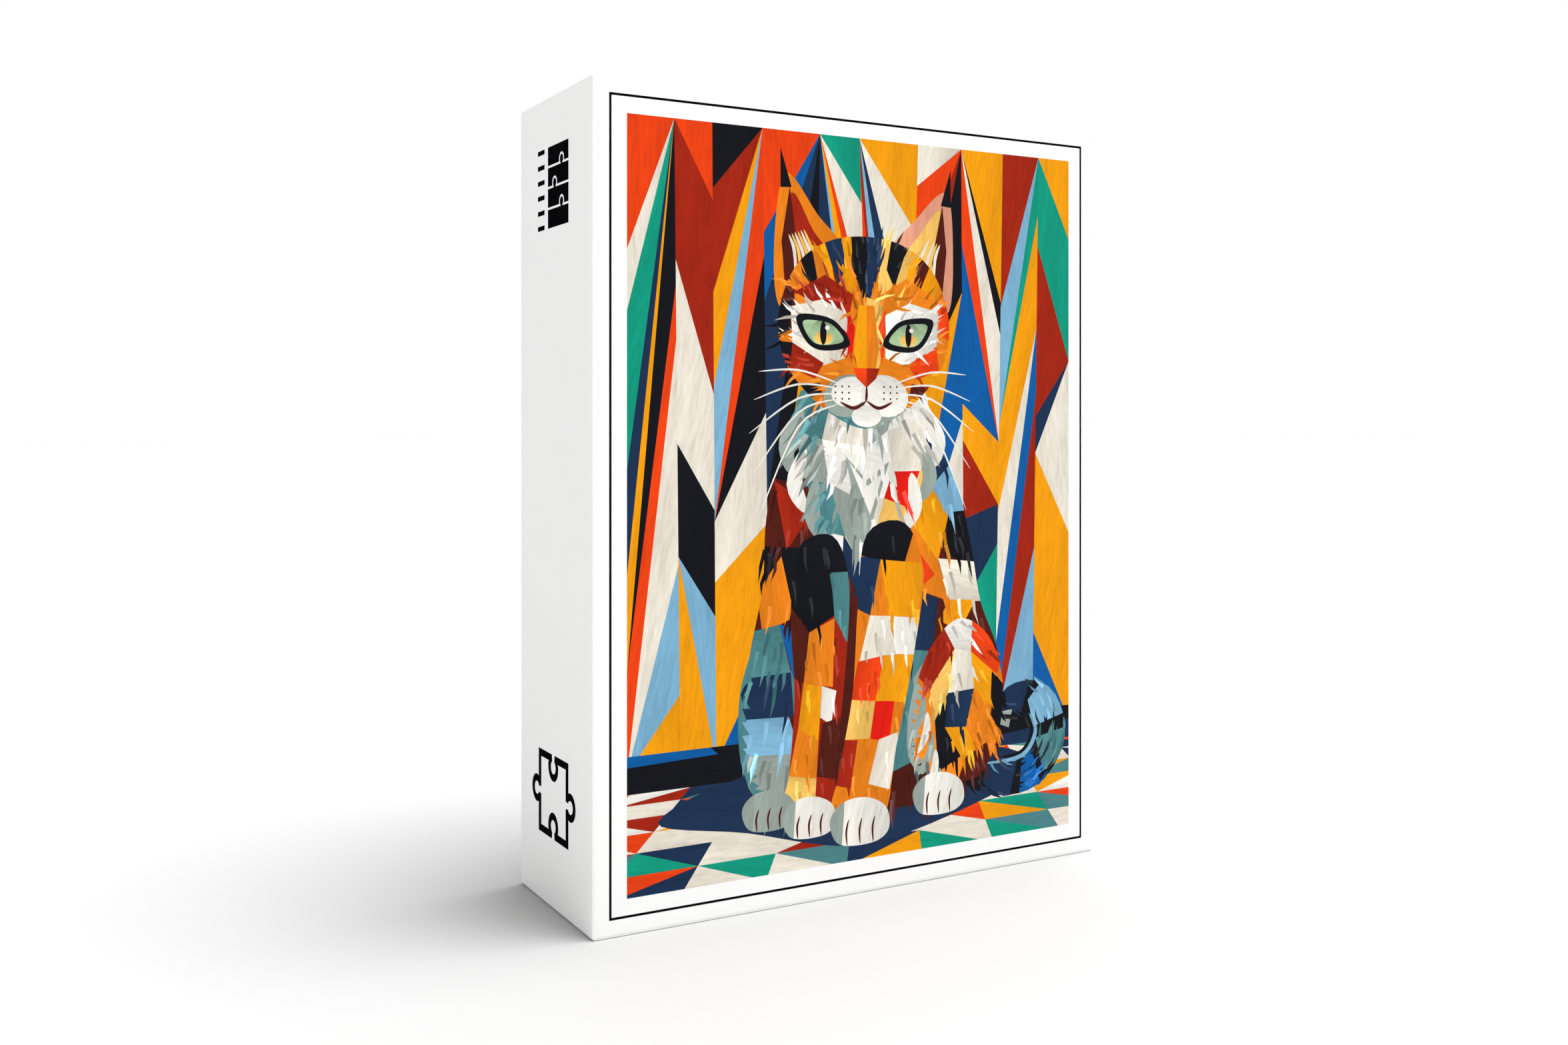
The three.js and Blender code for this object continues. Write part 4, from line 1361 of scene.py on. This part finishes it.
film_bag()

# ---------------------------------------------------------------- the folded poster


POSTER_PAPER = 0.18 * MM
POSTER_MARGIN = 5 * MM
POSTER_LIFT = 0.01 * MM
FOLD_STEPS, SHEET_COLUMNS, SHEET_ROWS = 4, 24, 16


def folded_poster():
    """The picture again on a sheet folded once, print outwards, standing in front of the bag."""
    low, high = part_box("picture_poster")
    outer = (high.y - low.y) / 2
    leaf = high.x - low.x - outer
    sheet_long, sheet_short = 0.35, high.z - low.z
    bend = sheet_long / 2 - leaf

    def place(p, depth=0.0):
        """A point of the flat sheet, in metres along and across it, at a depth under the print."""
        along, up = p[0] - sheet_long / 2, p[1]
        radius = outer - depth
        axis_x, axis_y = low.x + outer, (low.y + high.y) / 2
        if abs(along) < bend:
            angle = along / bend * math.pi / 2
            return Vector((axis_x - radius * math.cos(angle), axis_y + radius * math.sin(angle), low.z + up))
        side = math.copysign(1, along)
        return Vector((axis_x + abs(along) - bend, axis_y + side * radius, low.z + up))

    scale_long = (sheet_long - 2 * POSTER_MARGIN) / PICTURE_H
    scale_short = (sheet_short - 2 * POSTER_MARGIN) / PICTURE_W
    folds = [sheet_long / 2 + bend * step / FOLD_STEPS for step in range(-FOLD_STEPS, FOLD_STEPS + 1)]

    def on_sheet(p):
        flat_point = (sheet_long - POSTER_MARGIN - p[1] * scale_long, POSTER_MARGIN + p[0] * scale_short)
        return place(flat_point, -POSTER_LIFT)

    fold_heights = [(sheet_long - POSTER_MARGIN - x) / scale_long for x in folds]
    cuts = [((0, height), (PICTURE_W, height)) for height in fold_heights]
    print_piece = printed_mesh("poster_print", [printed_patch(whole_picture, on_sheet, cuts)], picture_print)
    even = [sheet_long * k / SHEET_COLUMNS for k in range(SHEET_COLUMNS + 1)]
    columns = sorted(set([x for x in even if abs(x - sheet_long / 2) > bend] + folds))
    rows = [sheet_short * k / SHEET_ROWS for k in range(SHEET_ROWS + 1)]
    points, faces = [], []
    for depth in (0.0, POSTER_PAPER):
        points += [place((x, z), depth) for x in columns for z in rows]
    total, rise = len(columns) * len(rows), len(rows)
    for i in range(len(columns) - 1):
        for j in range(len(rows) - 1):
            a = i * rise + j
            faces.append((a, a + rise, a + rise + 1, a + 1))
            faces.append((total + a, total + a + 1, total + a + rise + 1, total + a + rise))
    rim = [i * rise for i in range(len(columns))] + [total - rise + j for j in range(1, rise)]
    rim += [i * rise + rise - 1 for i in range(len(columns) - 2, -1, -1)] + list(range(rise - 2, 0, -1))
    for a, b in zip(rim, rim[1:] + rim[:1]):
        faces.append((b, a, a + total, b + total))
    mesh = new_mesh("poster_sheet", points, faces)
    coated = plain_stock("poster_paper", 0.5, (30, 3), (0.8, 0.79, 0.76), (0.86, 0.855, 0.83), (900, 3),
                         (0.00003, 0.4))
    sheet = new_piece("poster_sheet", mesh, coated)
    for piece in (sheet, print_piece):
        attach(piece, "poster")
    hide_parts("picture_poster")


folded_poster()
